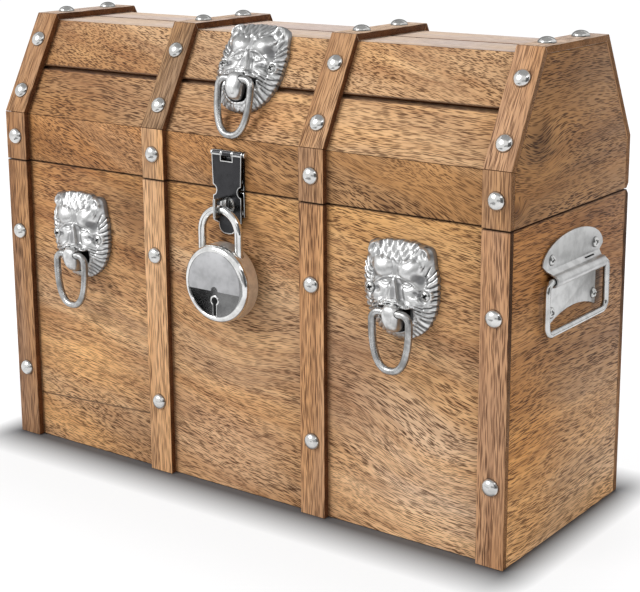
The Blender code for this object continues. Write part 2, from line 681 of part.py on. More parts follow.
# The padlock hangs by its shackle on the lower edge of the eye's hole
SHACKLE_AXIS = Vector((PADLOCK_X, EYE_TIP + EYE_RIM + SEAM + SHACKLE_RADIUS,
                       EYE_BOTTOM + EYE_RIM + SEAM + SHACKLE_RADIUS))
SHACKLE = new_carrier("padlock_axis", SHACKLE_AXIS, HASP)
PADLOCK_CENTRE = SHACKLE_AXIS - Vector((0.0, 0.0, SHACKLE_LENGTH))
PADLOCK = new_carrier("padlock_slide", PADLOCK_CENTRE, SHACKLE)


def add_padlock():
    radius = PADLOCK_RADIUS
    half = PADLOCK_THICKNESS / 2
    edge = PADLOCK_EDGE_RADIUS
    shoulder = math.sqrt(radius ** 2 - SHACKLE_HALF_SPAN ** 2)

    bend = -SHACKLE_HALF_SPAN
    toe = shoulder - SHACKLE_LENGTH
    legs = arc((0.0, bend), SHACKLE_HALF_SPAN, 180, 0, 2 * ARC_STEPS)
    points = [(-SHACKLE_HALF_SPAN, toe - SHACKLE_LONG_LEG)] + legs + [(SHACKLE_HALF_SPAN, toe - SHACKLE_SHORT_LEG)]
    add_part("padlock_shackle", wire_curve("padlock_shackle", points, SHACKLE_RADIUS, False), "chrome",
             SHACKLE_AXIS, FACE_ON, SHACKLE)

    face = half - PADLOCK_FACE_DEPTH
    rim = radius - edge - PADLOCK_RIM_WIDTH
    profile = [(0.0, face), (rim, face), (rim + PADLOCK_FACE_DEPTH / 2, half)]
    profile += [(r, z) for z, r in reversed(arc((half - edge, radius - edge), edge, 90, 0, ARC_STEPS // 2))]
    profile += [(r, z) for z, r in arc((edge - half, radius - edge), edge, 90, 180, ARC_STEPS // 2)]
    profile.append((0.0, -half))
    body = turned_part("padlock_body", profile, LOCK_STEPS, "chrome", PADLOCK_CENTRE, FACE_ON, PADLOCK)
    for side, leg in ((-1, SHACKLE_LONG_LEG), (1, SHACKLE_SHORT_LEG)):
        name = f"padlock_bore_{'left' if side < 0 else 'right'}"
        length = leg + SHACKLE_BORE_END + radius - shoulder
        bore = rod_mesh(name, SHACKLE_RADIUS + RUNNING_GAP, length)
        middle = radius - length / 2
        combine(body, name, bore, "DIFFERENCE", PADLOCK_CENTRE + Vector((side * SHACKLE_HALF_SPAN, 0.0, middle)),
                carrier=PADLOCK)
    slot = KEYHOLE_SLOT_WIDTH / 2
    angle = math.degrees(math.asin(slot / KEYHOLE_RADIUS))
    outline = arc((0.0, 0.0), KEYHOLE_RADIUS, -90 + angle, 270 - angle, 2 * ARC_STEPS)
    outline += [(-slot, -KEYHOLE_SLOT_LENGTH), (slot, -KEYHOLE_SLOT_LENGTH)]
    keyhole = plate_mesh("padlock_keyhole", [outline], 2 * KEYHOLE_DEPTH)
    place = PADLOCK_CENTRE + Vector((0.0, -face, -KEYHOLE_DROP))
    combine(body, "padlock_keyhole", keyhole, "DIFFERENCE", place, FACE_ON, PADLOCK)


# Lion masks, worked in their own frame: x to the right, y up and z out from the board


def bump(x, y, centre_x, centre_y, width, height, rise):
    return rise * math.exp(-((x - centre_x) / width) ** 2 - ((y - centre_y) / height) ** 2)


def smooth_step(low, high, value):
    t = min(max((value - low) / (high - low), 0.0), 1.0)
    return t * t * (3.0 - 2.0 * t)


def lion_edge(angle):
    """Distance from the mask's middle to its edge: square at the ears, drawn in at the chin."""
    c, s = abs(math.cos(angle)), math.sin(angle)
    power = 3.4 if s > 0 else 2.0
    reach = (c / LION_HALF_WIDTH) ** power + (abs(s) / LION_HALF_HEIGHT) ** power
    scallop = 1.0 + 0.018 * math.cos(LION_MANE_LOCKS * angle)
    return scallop / reach ** (1.0 / power)


def lion_height(x, y, share, angle):
    """Height of the mask's front over the board; share runs from 0 in the middle to 1 at the edge."""
    w, h = LION_HALF_WIDTH, LION_HALF_HEIGHT
    side = abs(x)
    rise = LION_RIM + LION_DOME * (1.0 - share ** 3)
    rise += LION_MANE_RELIEF * math.cos(LION_MANE_LOCKS * angle) * smooth_step(0.55, 0.8, share)
    face = bump(side, y, 0.33 * w, 0.47 * h, 0.26 * w, 0.20 * h, 0.0038)
    face += bump(x, y, 0.0, 0.12 * h, 0.15 * w, 0.42 * h, 0.0034)
    face += bump(x, y, 0.0, -0.20 * h, 0.22 * w, 0.11 * h, 0.0040)
    face += bump(side, y, 0.25 * w, -0.24 * h, 0.25 * w, 0.13 * h, 0.0042)
    face += bump(side, y, 0.55 * w, -0.06 * h, 0.20 * w, 0.20 * h, 0.0014)
    face += bump(side, y, 0.36 * w, 0.17 * h, 0.11 * w, 0.07 * h, 0.0012)
    face -= bump(side, y, 0.36 * w, 0.19 * h, 0.20 * w, 0.10 * h, 0.0026)
    ear = bump(side, y, 0.76 * w, 0.80 * h, 0.16 * w, 0.14 * h, 0.0036)
    ear -= bump(side, y, 0.76 * w, 0.80 * h, 0.07 * w, 0.07 * h, 0.0024)
    above_lip = smooth_step(LION_LIP - 0.001, LION_LIP + 0.001, y)
    rise += face * above_lip + ear
    return rise if y > LION_LIP else min(rise, LION_MOUTH_FLOOR)


def lion_mesh(name):
    """A relief on a polar grid, closed by a wall down to a flat back."""
    build = bmesh.new()
    spoke = [build.verts.new((i / LION_RINGS, 0.0, 0.0)) for i in range(LION_RINGS + 1)]
    edges = [build.edges.new(pair) for pair in zip(spoke, spoke[1:])]
    bmesh.ops.spin(build, geom=spoke + edges, cent=(0, 0, 0), axis=(0, 0, 1), angle=2 * math.pi,
                   steps=LION_SPOKES, use_merge=True)
    bmesh.ops.remove_doubles(build, verts=build.verts, dist=1e-5)
    for vert in build.verts:
        share = vert.co.xy.length
        angle = math.atan2(vert.co.y, vert.co.x)
        edge = lion_edge(angle) * share
        x, y = edge * math.cos(angle), edge * math.sin(angle)
        vert.co = (x, y, lion_height(x, y, share, angle))
    rim = [edge for edge in build.edges if edge.is_boundary]
    wall = bmesh.ops.extrude_edge_only(build, edges=rim)["geom"]
    foot = [item for item in wall if isinstance(item, bmesh.types.BMVert)]
    for vert in foot:
        vert.co.z = 0.0
    loop = [item for item in wall if isinstance(item, bmesh.types.BMEdge)]
    bmesh.ops.edgeloop_fill(build, edges=[edge for edge in loop if edge.is_boundary])
    return finish_mesh(name, build)


def ring_points():
    """The ring's middle line below its pivot: a straight bar, round corners and an oval bow."""
    flat = RING_HALF_WIDTH - RING_CORNER
    right = [(flat, 0.0)] + arc((flat, -RING_CORNER), RING_CORNER, 90, 0, ARC_STEPS // 2)[1:]
    bow = RING_LENGTH - RING_CORNER
    steps = 2 * ARC_STEPS
    angles = [-math.pi * i / steps for i in range(1, steps)]
    fullness = 2.0 / RING_BOW_POWER
    oval = [(math.copysign(RING_HALF_WIDTH * abs(math.cos(a)) ** fullness, math.cos(a)),
             -RING_CORNER - bow * abs(math.sin(a)) ** fullness) for a in angles]
    return right + oval + [(-x, y) for x, y in reversed(right)]


def add_lion(label, place, tilt, ring_tilt, carrier=None):
    """A mask set on its board at place, with its ring's bar through the tongue."""
    out = Vector((0.0, -math.sin(tilt), math.cos(tilt)))
    up = Vector((0.0, math.cos(tilt), math.sin(tilt)))
    turn = (tilt, 0.0, 0.0)
    name = f"{label}_lion_mask"
    mask = add_part(name, lion_mesh(name), "cast_metal", place + out * SEAM, turn, carrier)
    pivot = place + out * RING_STANDOFF + up * LION_MOUTH
    radii = (LION_TONGUE_HALF_WIDTH, LION_TONGUE_HALF_LENGTH, LION_TONGUE_DEPTH)
    middle = place + up * (LION_MOUTH - LION_TONGUE_DROP) + out * (RING_STANDOFF - RING_WIRE_RADIUS)
    combine(mask, f"{name}_tongue", ball_mesh(f"{name}_tongue", radii, 12, 8), "UNION", middle, turn, carrier)
    bore = rod_mesh(f"{name}_bore", RING_WIRE_RADIUS + RUNNING_GAP, 2 * RING_HALF_WIDTH + 4 * RING_WIRE_RADIUS)
    combine(mask, f"{name}_bore", bore, "DIFFERENCE", pivot, (0.0, math.pi / 2, 0.0), carrier)
    axis = new_carrier(f"{label}_ring_axis", pivot, carrier)
    ring = f"{label}_lion_ring"
    add_part(ring, wire_curve(ring, ring_points(), RING_WIRE_RADIUS, True), "ring_metal", pivot,
             (ring_tilt, 0.0, 0.0), axis)


def add_lions():
    upright = math.pi / 2
    end = OVERALL_WIDTH / 2
    for label, x, drop in (("left", LEFT_LION_FROM_END - end, LEFT_LION_BELOW_LID),
                           ("right", end - RIGHT_LION_FROM_END, RIGHT_LION_BELOW_LID)):
        add_lion(label, Vector((x, -BOARD_FACE, LID_LINE - drop)), upright, upright)
    start, along, inward = hoop_frame(1)
    tilt = math.atan2(along.y, along.x)
    last = hoop_limits(1, BOARD_OFFSET)[1]
    y, z = hoop_point(1, last - LION_BELOW_SLOPE_TOP, BOARD_OFFSET)
    lean = math.asin((RING_STANDOFF - RING_WIRE_RADIUS - 2 * SEAM) / RING_LENGTH)
    add_lion("lid", Vector((0.0, y, z)), tilt, tilt + lean, LID)


# End handles, worked in (y, z) from the middle of the bail's bar


def handle_outline():
    """The plate's front view: an arched top, a neck at the barrel and a foot with a hollow edge."""
    ear = HANDLE_EAR_HALF_WIDTH
    rise = HANDLE_ARCH_RISE - HANDLE_EAR_RISE
    angles = [math.pi * i / (2 * ARC_STEPS) for i in range(2 * ARC_STEPS + 1)]
    arch = [(ear * math.cos(a), HANDLE_EAR_RISE + rise * math.sin(a)) for a in angles]
    neck = BAIL_WIRE_RADIUS + HANDLE_SHEET + 2 * RUNNING_GAP
    left = [(-HANDLE_NECK_HALF_WIDTH, neck), (-HANDLE_NECK_HALF_WIDTH, -neck), (-HANDLE_FOOT_HALF_WIDTH, -neck)]
    chord = HANDLE_FOOT_HALF_WIDTH
    radius = (chord ** 2 + HANDLE_ARC_RISE ** 2) / (2 * HANDLE_ARC_RISE)
    half_angle = math.degrees(math.asin(chord / radius))
    hollow = arc((0.0, HANDLE_ARC_RISE - HANDLE_FOOT_DROP - radius), radius, 90 + half_angle, 90 - half_angle)
    return arch + left + hollow + [(-y, z) for y, z in reversed(left)]


def handle_section():
    """The sheet's section (out, up): flat above and below, and humped over the bail's bar on sloping flanks."""
    back, front = SEAM, SEAM + HANDLE_SHEET
    centre = BAIL_OUT
    inner = BAIL_WIRE_RADIUS + RUNNING_GAP
    outer = inner + HANDLE_SHEET
    tall = HANDLE_ARCH_RISE + HANDLE_FOOT_DROP
    hump = arc((centre, 0.0), outer, 90, -90, 2 * ARC_STEPS)
    hollow = arc((centre, 0.0), inner, -90, 90, 2 * ARC_STEPS)
    upper, lower = HANDLE_FLARE, HANDLE_FLARE / 2
    return ([(back, tall), (front, tall), (front, outer + upper)] + hump
            + [(front, -outer - lower), (front, -tall), (back, -tall), (back, -inner - lower)] + hollow
            + [(back, inner + upper)])


def bail_points():
    """The bail's middle line: a rectangle with round corners, hung from its upper bar."""
    flat = BAIL_HALF_WIDTH - BAIL_CORNER
    low = BAIL_CORNER - BAIL_DROP
    steps = ARC_STEPS // 2
    right = arc((flat, -BAIL_CORNER), BAIL_CORNER, 90, 0, steps) + arc((flat, low), BAIL_CORNER, 0, -90, steps)
    return right + [(-y, z) for y, z in reversed(right)]


def add_handle(side):
    label = "left" if side < 0 else "right"
    face = Vector((side * OVERALL_WIDTH / 2, 0.0, LID_LINE - HANDLE_BELOW_LID))
    length = 2 * HANDLE_EAR_HALF_WIDTH + 2 * HANDLE_SHEET
    name = f"{label}_handle_plate"
    section = [(side * out, up) for out, up in handle_section()]
    plate = add_part(name, plate_mesh(name, [section], length), "zinc", face, FACE_ON)
    thick = 4 * (BAIL_OUT + HANDLE_SHEET + BAIL_WIRE_RADIUS)
    outline = plate_mesh(f"{name}_outline", [handle_outline()], thick)
    combine(plate, f"{name}_outline", outline, "INTERSECT", face, SIDE_ON)
    pivot = face + Vector((side * BAIL_OUT, 0.0, 0.0))
    axis = new_carrier(f"{label}_bail_axis", pivot)
    bail = f"{label}_handle_bail"
    add_part(bail, wire_curve(bail, bail_points(), BAIL_WIRE_RADIUS, True), "chrome", pivot, SIDE_ON, axis)


def shade_round_parts():
    for part in PARTS.objects:
        if part.type == "MESH":
            part.data.shade_smooth()
            part.data.set_sharp_from_angle(angle=math.radians(35))


add_body()
add_body_strips()
add_lid_boards()
add_lid_strips()
for hand in (-1, 1):
    add_rear_hinge(hand)
    add_handle(hand)
add_hasp()
add_hasp_eye()
add_padlock()
add_lions()
shade_round_parts()
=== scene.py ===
"""Dresses the treasure chest: oiled timber, nickel nails, cast lion knockers, hasp, padlock and handles.

Metres, in the chest's own frame: +X along the front, +Y to the back, +Z up, front facing -Y.
"""
import json
import math
import random

import bmesh
import bpy
from mathutils import Matrix, Vector

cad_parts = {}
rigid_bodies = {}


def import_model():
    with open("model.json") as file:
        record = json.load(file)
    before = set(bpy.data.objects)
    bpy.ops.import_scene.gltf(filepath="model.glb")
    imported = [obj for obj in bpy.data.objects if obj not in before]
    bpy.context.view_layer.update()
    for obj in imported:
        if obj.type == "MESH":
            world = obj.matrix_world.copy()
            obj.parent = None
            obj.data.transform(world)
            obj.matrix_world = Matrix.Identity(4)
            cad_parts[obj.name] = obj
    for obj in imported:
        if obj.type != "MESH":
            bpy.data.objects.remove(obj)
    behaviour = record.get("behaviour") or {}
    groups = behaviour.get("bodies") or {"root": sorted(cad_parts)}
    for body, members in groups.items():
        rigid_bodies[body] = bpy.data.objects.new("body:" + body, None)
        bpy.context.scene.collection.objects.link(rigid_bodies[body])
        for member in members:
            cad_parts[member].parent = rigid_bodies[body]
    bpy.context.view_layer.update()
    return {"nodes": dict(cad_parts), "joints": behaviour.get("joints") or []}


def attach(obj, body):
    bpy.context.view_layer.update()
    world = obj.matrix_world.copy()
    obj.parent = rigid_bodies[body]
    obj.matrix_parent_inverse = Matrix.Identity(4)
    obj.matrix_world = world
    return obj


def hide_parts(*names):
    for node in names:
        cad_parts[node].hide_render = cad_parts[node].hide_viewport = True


for leftover in list(bpy.data.objects):
    bpy.data.objects.remove(leftover, do_unlink=True)
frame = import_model()
PIVOTS = {joint["name"]: Vector(joint["pos_m"]) for joint in frame["joints"] if "pos_m" in joint}

# Sizes shared with the solids
HALF_WIDTH = 0.230
HALF_DEPTH = 0.086
BOARD_FACE = 0.0807
LID_LINE = 0.231
BEND_HEIGHT = 0.270
TOP_HALF_DEPTH = 0.0455
TOP_HEIGHT = 0.345
SLAT_GAP = 0.3042
STRIP_HALF_WIDTH = 0.0105
STRIP_SPACING = (2 * HALF_WIDTH - 2 * STRIP_HALF_WIDTH) / 3
STRIP_PLACES = [STRIP_SPACING * (i - 1.5) for i in range(4)]
NAIL_RADIUS = 0.0064
NAIL_HEIGHT = 0.0042
NAIL_SINK = 0.0004
SEAT = 0.0003
SLOPE = Vector((0.0, HALF_DEPTH - TOP_HALF_DEPTH, TOP_HEIGHT - BEND_HEIGHT))
SLOPE_LENGTH = SLOPE.length
SLOPE.normalize()
SLOPE_TILT = math.atan2(SLOPE.z, SLOPE.y)


# Placing: a shape's own x, y and z become right, up and out
def facing(place, right, up):
    right, up = Vector(right).normalized(), Vector(up).normalized()
    turn = Matrix((right, up, right.cross(up))).transposed().to_4x4()
    return Matrix.Translation(place) @ turn


def facing_front(x, z, out):
    return facing((x, -BOARD_FACE - out, z), (1, 0, 0), (0, 0, 1))


def link_piece(name, mesh, finishes, body, nodes=(), crease=38):
    """Link a finished mesh as a piece that rides on a body and may stand for solids."""
    for finish in finishes:
        mesh.materials.append(finish)
    mesh.shade_smooth()
    mesh.set_sharp_from_angle(angle=math.radians(crease))
    piece = bpy.data.objects.new(name, mesh)
    bpy.context.scene.collection.objects.link(piece)
    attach(piece, body)
    if nodes:
        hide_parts(*nodes)


def mesh_of(name, build):
    mesh = bpy.data.meshes.new(name)
    build.to_mesh(mesh)
    build.free()
    return mesh


def gather(name, parts):
    """One mesh from several (mesh, matrix) pairs; attributes come along."""
    build = bmesh.new()
    for mesh, matrix in parts:
        before = len(build.verts)
        build.from_mesh(mesh)
        build.verts.ensure_lookup_table()
        bmesh.ops.transform(build, matrix=matrix, verts=build.verts[before:])
    return mesh_of(name, build)


# Nodes of the materials
def feed(tree, socket, value):
    if isinstance(value, bpy.types.NodeSocket):
        tree.links.new(value, socket)
    else:
        socket.default_value = value


def feed_all(tree, sockets, **inputs):
    for key, value in inputs.items():
        feed(tree, sockets[key.replace("_", " ")], value)


def put(tree, kind, settings=(), **inputs):
    """Add a shader node; each input is a value or another node's output."""
    made = tree.nodes.new("ShaderNode" + kind)
    for key, value in dict(settings).items():
        setattr(made, key, value)
    feed_all(tree, made.inputs, **inputs)
    return made


def sums(tree, operation, first, second=0.0, clamp=False):
    made = tree.nodes.new("ShaderNodeMath")
    made.operation = operation
    made.use_clamp = clamp
    feed(tree, made.inputs[0], first)
    feed(tree, made.inputs[1], second)
    return made.outputs[0]


def vector_sums(tree, operation, first, second):
    made = tree.nodes.new("ShaderNodeVectorMath")
    made.operation = operation
    feed(tree, made.inputs[0], first)
    feed(tree, made.inputs["Scale" if operation == "SCALE" else 1], second)
    return made.outputs[0]


def length_of(tree, vector):
    return put(tree, "VectorMath", {"operation": "LENGTH"}, Vector=vector).outputs["Value"]


def axes(tree, where):
    return put(tree, "SeparateXYZ", Vector=where).outputs


def distance_from(tree, value, level):
    return sums(tree, "ABSOLUTE", sums(tree, "SUBTRACT", value, level))


def blend_colours(tree, share, first, second, mode="MIX"):
    made = tree.nodes.new("ShaderNodeMix")
    made.data_type = "RGBA"
    made.blend_type = mode
    feed(tree, made.inputs[0], share)
    feed(tree, made.inputs[6], first)
    feed(tree, made.inputs[7], second)
    return made.outputs[2]


def ramp(tree, value, low, high, start=0.0, end=1.0):
    """An eased step: start at low, end at high."""
    made = put(tree, "MapRange", {"interpolation_type": "SMOOTHSTEP"}, Value=value, From_Min=low,
               From_Max=high, To_Min=start, To_Max=end)
    return made.outputs[0]


def cloud(tree, vector, stretch, detail, roughness=0.5):
    """Noise with its own scale along each axis."""
    scaled = vector_sums(tree, "MULTIPLY", vector, stretch)
    return put(tree, "TexNoise", Vector=scaled, Scale=1.0, Detail=detail, Roughness=roughness).outputs[0]


def dashes(tree, vector, stretch, core, edge):
    """Separate dashes, dark in the middle: the vessels that a saw cut lays open."""
    scaled = vector_sums(tree, "MULTIPLY", vector, stretch)
    spot = put(tree, "TexVoronoi", Vector=scaled, Scale=1.0).outputs["Distance"]
    return ramp(tree, spot, core, edge, 1.0, 0.0)


def weigh(tree, total, value, weight):
    """Add a weighted noise, taken about its middle, to a running total."""
    part = sums(tree, "MULTIPLY", sums(tree, "SUBTRACT", value, 0.5), weight)
    return sums(tree, "ADD", total, part)


def new_group(name, inputs, outputs):
    group = bpy.data.node_groups.new(name, "ShaderNodeTree")
    for label, kind, value in inputs:
        socket = group.interface.new_socket(name=label, in_out="INPUT", socket_type="NodeSocket" + kind)
        socket.default_value = value
    for label, kind in outputs:
        group.interface.new_socket(name=label, in_out="OUTPUT", socket_type="NodeSocket" + kind)
    return group, group.nodes.new("NodeGroupInput").outputs, group.nodes.new("NodeGroupOutput").inputs


def timber_group():
    """Grain that runs along X: broad bands, growth streaks, fine fibres and short dark pores."""
    group, source, sink = new_group(
        "timber_grain",
        [("Along", "Vector", (0, 0, 0)), ("Pale", "Color", (1, 1, 1, 1)), ("Deep", "Color", (0, 0, 0, 1)),
         ("Streaks", "Float", 0.5), ("Pores", "Float", 0.5), ("Waves", "Float", 0.01)],
        [("Color", "Color"), ("Roughness", "Float"), ("Height", "Float")])
    scaled = vector_sums(group, "MULTIPLY", source["Along"], (5.0, 12.0, 12.0))
    drift = put(group, "TexNoise", Vector=scaled, Scale=1.0, Detail=2.0, Roughness=0.5)
    drift = vector_sums(group, "SUBTRACT", drift.outputs[1], (0.5, 0.5, 0.5))
    drift = vector_sums(group, "SCALE", drift, source["Waves"])
    along = vector_sums(group, "ADD", source["Along"], drift)
    broad = cloud(group, along, (2.4, 38, 38), 5.0, 0.62)
    growth = cloud(group, along, (5.0, 170, 170), 3.0, 0.6)
    fibre = cloud(group, along, (120, 900, 900), 1.0)
    patch = cloud(group, along, (9, 17, 17), 3.0)
    hue = cloud(group, along, (7, 30, 30), 2.0)
    fine = dashes(group, along, (105, 1400, 1400), 0.24, 0.52)
    large = dashes(group, along, (52, 1080, 1080), 0.17, 0.40)
    crowd = ramp(group, cloud(group, along, (16, 60, 60), 2.0), 0.30, 0.62, 0.60, 1.0)

    tone = sums(group, "MULTIPLY", sums(group, "SUBTRACT", broad, 0.5), source["Streaks"])
    tone = sums(group, "ADD", sums(group, "MULTIPLY", tone, 4.4), 0.46)
    for value, weight in ((growth, 1.5), (fibre, 0.5), (patch, 0.8)):
        tone = weigh(group, tone, value, weight)
    tone = sums(group, "ADD", tone, 0.0, clamp=True)
    colour = blend_colours(group, tone, source["Pale"], source["Deep"])
    tint = blend_colours(group, ramp(group, hue, 0.35, 0.65), (1.08, 0.98, 0.78, 1), (0.95, 0.96, 0.98, 1))
    colour = blend_colours(group, 0.75, colour, tint, "MULTIPLY")
    pores = sums(group, "MAXIMUM", sums(group, "MULTIPLY", fine, 0.95), large)
    pores = sums(group, "MULTIPLY", pores, crowd)
    share = sums(group, "MULTIPLY", pores, source["Pores"], clamp=True)
    dark = blend_colours(group, 1.0, colour, (0.12, 0.07, 0.045, 1), "MULTIPLY")
    colour = blend_colours(group, share, colour, dark)
    rough = sums(group, "ADD", sums(group, "MULTIPLY", fibre, 0.22), 0.37)
    rough = sums(group, "ADD", rough, sums(group, "MULTIPLY", pores, 0.18))
    height = sums(group, "SUBTRACT", sums(group, "MULTIPLY", fibre, 0.5), pores)
    feed_all(group, sink, Color=colour, Roughness=rough, Height=height)
    return group


def handling_group():
    """Marks of handling on metal: soft smudges, specks and fine scratches."""
    group, source, sink = new_group(
        "metal_handling", [("At", "Vector", (0, 0, 0)), ("Amount", "Float", 0.5), ("Base", "Float", 0.2)],
        [("Roughness", "Float"), ("Height", "Float"), ("Smudge", "Float")])
    smudge = cloud(group, source["At"], (110, 110, 110), 4.0, 0.6)
    specks = cloud(group, source["At"], (1500, 1500, 1500), 2.0)
    lines = cloud(group, source["At"], (2600, 160, 900), 1.0)
    rough = sums(group, "MULTIPLY", sums(group, "SUBTRACT", smudge, 0.42), source["Amount"])
    rough = sums(group, "ADD", rough, source["Base"], clamp=True)
    height = sums(group, "ADD", sums(group, "MULTIPLY", specks, 0.5), sums(group, "MULTIPLY", lines, 0.5))
    feed_all(group, sink, Roughness=rough, Height=height, Smudge=smudge)
    return group


TIMBER = timber_group()
HANDLING = handling_group()


def new_material(name):
    material = bpy.data.materials.new(name)
    material.use_nodes = True
    tree = material.node_tree
    return material, tree, tree.nodes["Principled BSDF"]


def use_group(tree, group, **inputs):
    made = tree.nodes.new("ShaderNodeGroup")
    made.node_tree = group
    feed_all(tree, made.inputs, **inputs)
    return made.outputs


def raise_grain(tree, shader, height, strength, distance):
    bump = put(tree, "Bump", Height=height, Strength=strength, Distance=distance)
    tree.links.new(bump.outputs[0], shader.inputs["Normal"])


# Timber
ALONG_X = (0.0, 0.0, 0.0)
ALONG_Y = (0.0, 0.0, -math.pi / 2)
ALONG_Z = (0.0, math.pi / 2, 0.0)
ALONG_SLOPE = (math.pi / 2 - SLOPE_TILT, math.pi / 2, 0.0)
ALONG_BACK_SLOPE = (SLOPE_TILT - math.pi / 2, math.pi / 2, 0.0)


def across_front(degrees):
    """Grain along X, rising or falling across a front-facing board."""
    return (0.0, math.radians(degrees), 0.0)


def across_end(degrees):
    """Grain along Y, rising or falling across an end board."""
    return (0.0, math.radians(degrees), -math.pi / 2)


def nearness(tree, where, centre, reach):
    """1 at a point, falling softly to 0 at its reach along each axis."""
    away = vector_sums(tree, "SUBTRACT", where, centre)
    away = vector_sums(tree, "MULTIPLY", away, tuple(1 / r for r in reach))
    return ramp(tree, length_of(tree, away), 0.0, 1.0, 1.0, 0.0)


def push_grain(tree, where, centre, reach, push):
    """Push the grain aside round a point, as growth rings pass round a knot."""
    shift = vector_sums(tree, "SCALE", push, nearness(tree, where, centre, reach))
    return vector_sums(tree, "ADD", where, shift)


def timber(name, turn, shift, tones, figure, stretch=(1.0, 1.0), knots=(), stains=(), paint=None, sheen=0.24):
    """An oiled board: turn lays the grain along the board, shift picks another cut of the tree."""
    pale, deep = tones
    streaks, pores, waves = figure
    material, tree, shader = new_material(name)
    where = put(tree, "TexCoord").outputs["Object"]
    bent = where
    for centre, reach, push in knots:
        bent = push_grain(tree, bent, centre, reach, push)
    at = put(tree, "Mapping", Vector=bent, Location=shift, Rotation=turn).outputs[0]
    at = vector_sums(tree, "MULTIPLY", at, (stretch[0], stretch[1], stretch[1]))
    grain = use_group(tree, TIMBER, Along=at, Pale=(*pale, 1), Deep=(*deep, 1), Streaks=streaks,
                      Pores=pores, Waves=waves)
    colour = grain["Color"]
    for centre, reach, tint in stains:
        share = nearness(tree, where, centre, reach)
        colour = blend_colours(tree, share, colour, (*tint, 1), "MULTIPLY")
    if paint:
        colour = paint(tree, where, colour)
    colour = paint_lid_joint_shade(tree, where, colour)
    feed_all(tree, shader.inputs, Base_Color=colour, Roughness=grain["Roughness"], Specular_IOR_Level=sheen)
    raise_grain(tree, shader, grain["Height"], 0.6, 0.0003)
    return material


def paint_lid_joint_shade(tree, where, colour):
    """Painted shade: a near-black line along the lid joint, where shade falls in the gap between lid and
    body.
    """
    off = distance_from(tree, axes(tree, where)[2], LID_LINE + SEAT)
    share = ramp(tree, off, 0.0004, 0.0014, 0.7, 0.0)
    return blend_colours(tree, share, colour, (0.035, 0.016, 0.010, 1))


def paint_shade_beside_strips(tree, where, colour):
    """Painted shade in the corners beside the strips, where the strips stand proud of the boards."""
    x = axes(tree, where)[0]
    off = sums(tree, "PINGPONG", sums(tree, "ADD", x, 4.5 * STRIP_SPACING), STRIP_SPACING / 2)
    share = ramp(tree, sums(tree, "SUBTRACT", off, STRIP_HALF_WIDTH), 0.0002, 0.0024, 0.50, 0.0)
    return blend_colours(tree, share, colour, (0.12, 0.055, 0.027, 1))


def paint_front(tree, where, colour):
    """The front is glued up: a golden edge at the top, and a darker narrow board low on the left."""
    x, _, height = axes(tree, where)
    top = ramp(tree, height, 0.165, LID_LINE, 0.0, 0.75)
    colour = blend_colours(tree, top, colour, (0.96, 0.88, 0.66, 1), "MULTIPLY")
    seam = sums(tree, "ADD", sums(tree, "MULTIPLY", x, 0.055), 0.0478)
    depth = sums(tree, "SUBTRACT", seam, height)
    left = sums(tree, "LESS_THAN", x, -STRIP_SPACING / 2)
    low = sums(tree, "MULTIPLY", sums(tree, "GREATER_THAN", depth, 0.0), left)
    low = sums(tree, "MULTIPLY", low, 0.45)
    colour = blend_colours(tree, low, colour, (0.76, 0.70, 0.66, 1), "MULTIPLY")
    line = ramp(tree, sums(tree, "ABSOLUTE", depth), 0.0003, 0.0010, 1.0, 0.0)
    line = sums(tree, "MULTIPLY", sums(tree, "MULTIPLY", line, left), 0.75)
    colour = blend_colours(tree, line, colour, (0.09, 0.045, 0.025, 1))
    return paint_shade_beside_strips(tree, where, colour)


def paint_end(tree, where, colour):
    """A golden patch at the front of the end panel, a paler foot, a deeper top and a painted shadow beside
    the handle plate.
    """
    _, across, height = axes(tree, where)
    away = vector_sums(tree, "SUBTRACT", where, (HALF_WIDTH, -0.065, 0.075))
    away = vector_sums(tree, "MULTIPLY", away, (0.0, 1.0, 0.8))
    for share, tint in ((ramp(tree, length_of(tree, away), 0.015, 0.080, 0.8, 0.0), (1.08, 0.90, 0.56, 1)),
                        (ramp(tree, height, 0.03, 0.12, 0.8, 0.0), (1.76, 2.05, 2.55, 1)),
                        (ramp(tree, height, 0.08, 0.22, 0.0, 0.7), (0.86, 0.68, 0.46, 1))):
        colour = blend_colours(tree, share, colour, tint, "MULTIPLY")
    # Painted shadow: a near-black patch beside the handle plate, where the plate and bail throw their shade.
    beside = ramp(tree, distance_from(tree, across, 0.0390), 0.0030, 0.0085, 1.0, 0.0)
    level = ramp(tree, distance_from(tree, height, 0.1705), 0.0100, 0.0190, 0.72, 0.0)
    return blend_colours(tree, sums(tree, "MULTIPLY", beside, level), colour, (0.030, 0.018, 0.010, 1))


def paint_slat(tree, where, colour):
    """A sloping slat, with painted shade beside the strips and along the gap between the two slats."""
    colour = paint_shade_beside_strips(tree, where, colour)
    share = ramp(tree, distance_from(tree, axes(tree, where)[2], SLAT_GAP), 0.0016, 0.0026, 0.85, 0.0)
    return blend_colours(tree, share, colour, (0.07, 0.035, 0.022, 1))


def paint_top(tree, where, colour):
    """Painted shade along the eased joint between the two top slats, where shade falls in the groove."""
    share = ramp(tree, distance_from(tree, axes(tree, where)[1], 0.0), 0.0008, 0.0019, 0.9, 0.0)
    return blend_colours(tree, share, colour, (0.06, 0.032, 0.02, 1))


def paint_corner(tree, where, colour):
    """The corner strips' sides, deep brown under the lid and paler below and above."""
    height = axes(tree, where)[2]
    below = ramp(tree, height, 0.08, 0.17)
    share = sums(tree, "MULTIPLY", below, ramp(tree, height, LID_LINE + 0.0002, LID_LINE + 0.0020, 0.85, 0.0))
    return blend_colours(tree, share, colour, (0.16, 0.13, 0.12, 1), "MULTIPLY")


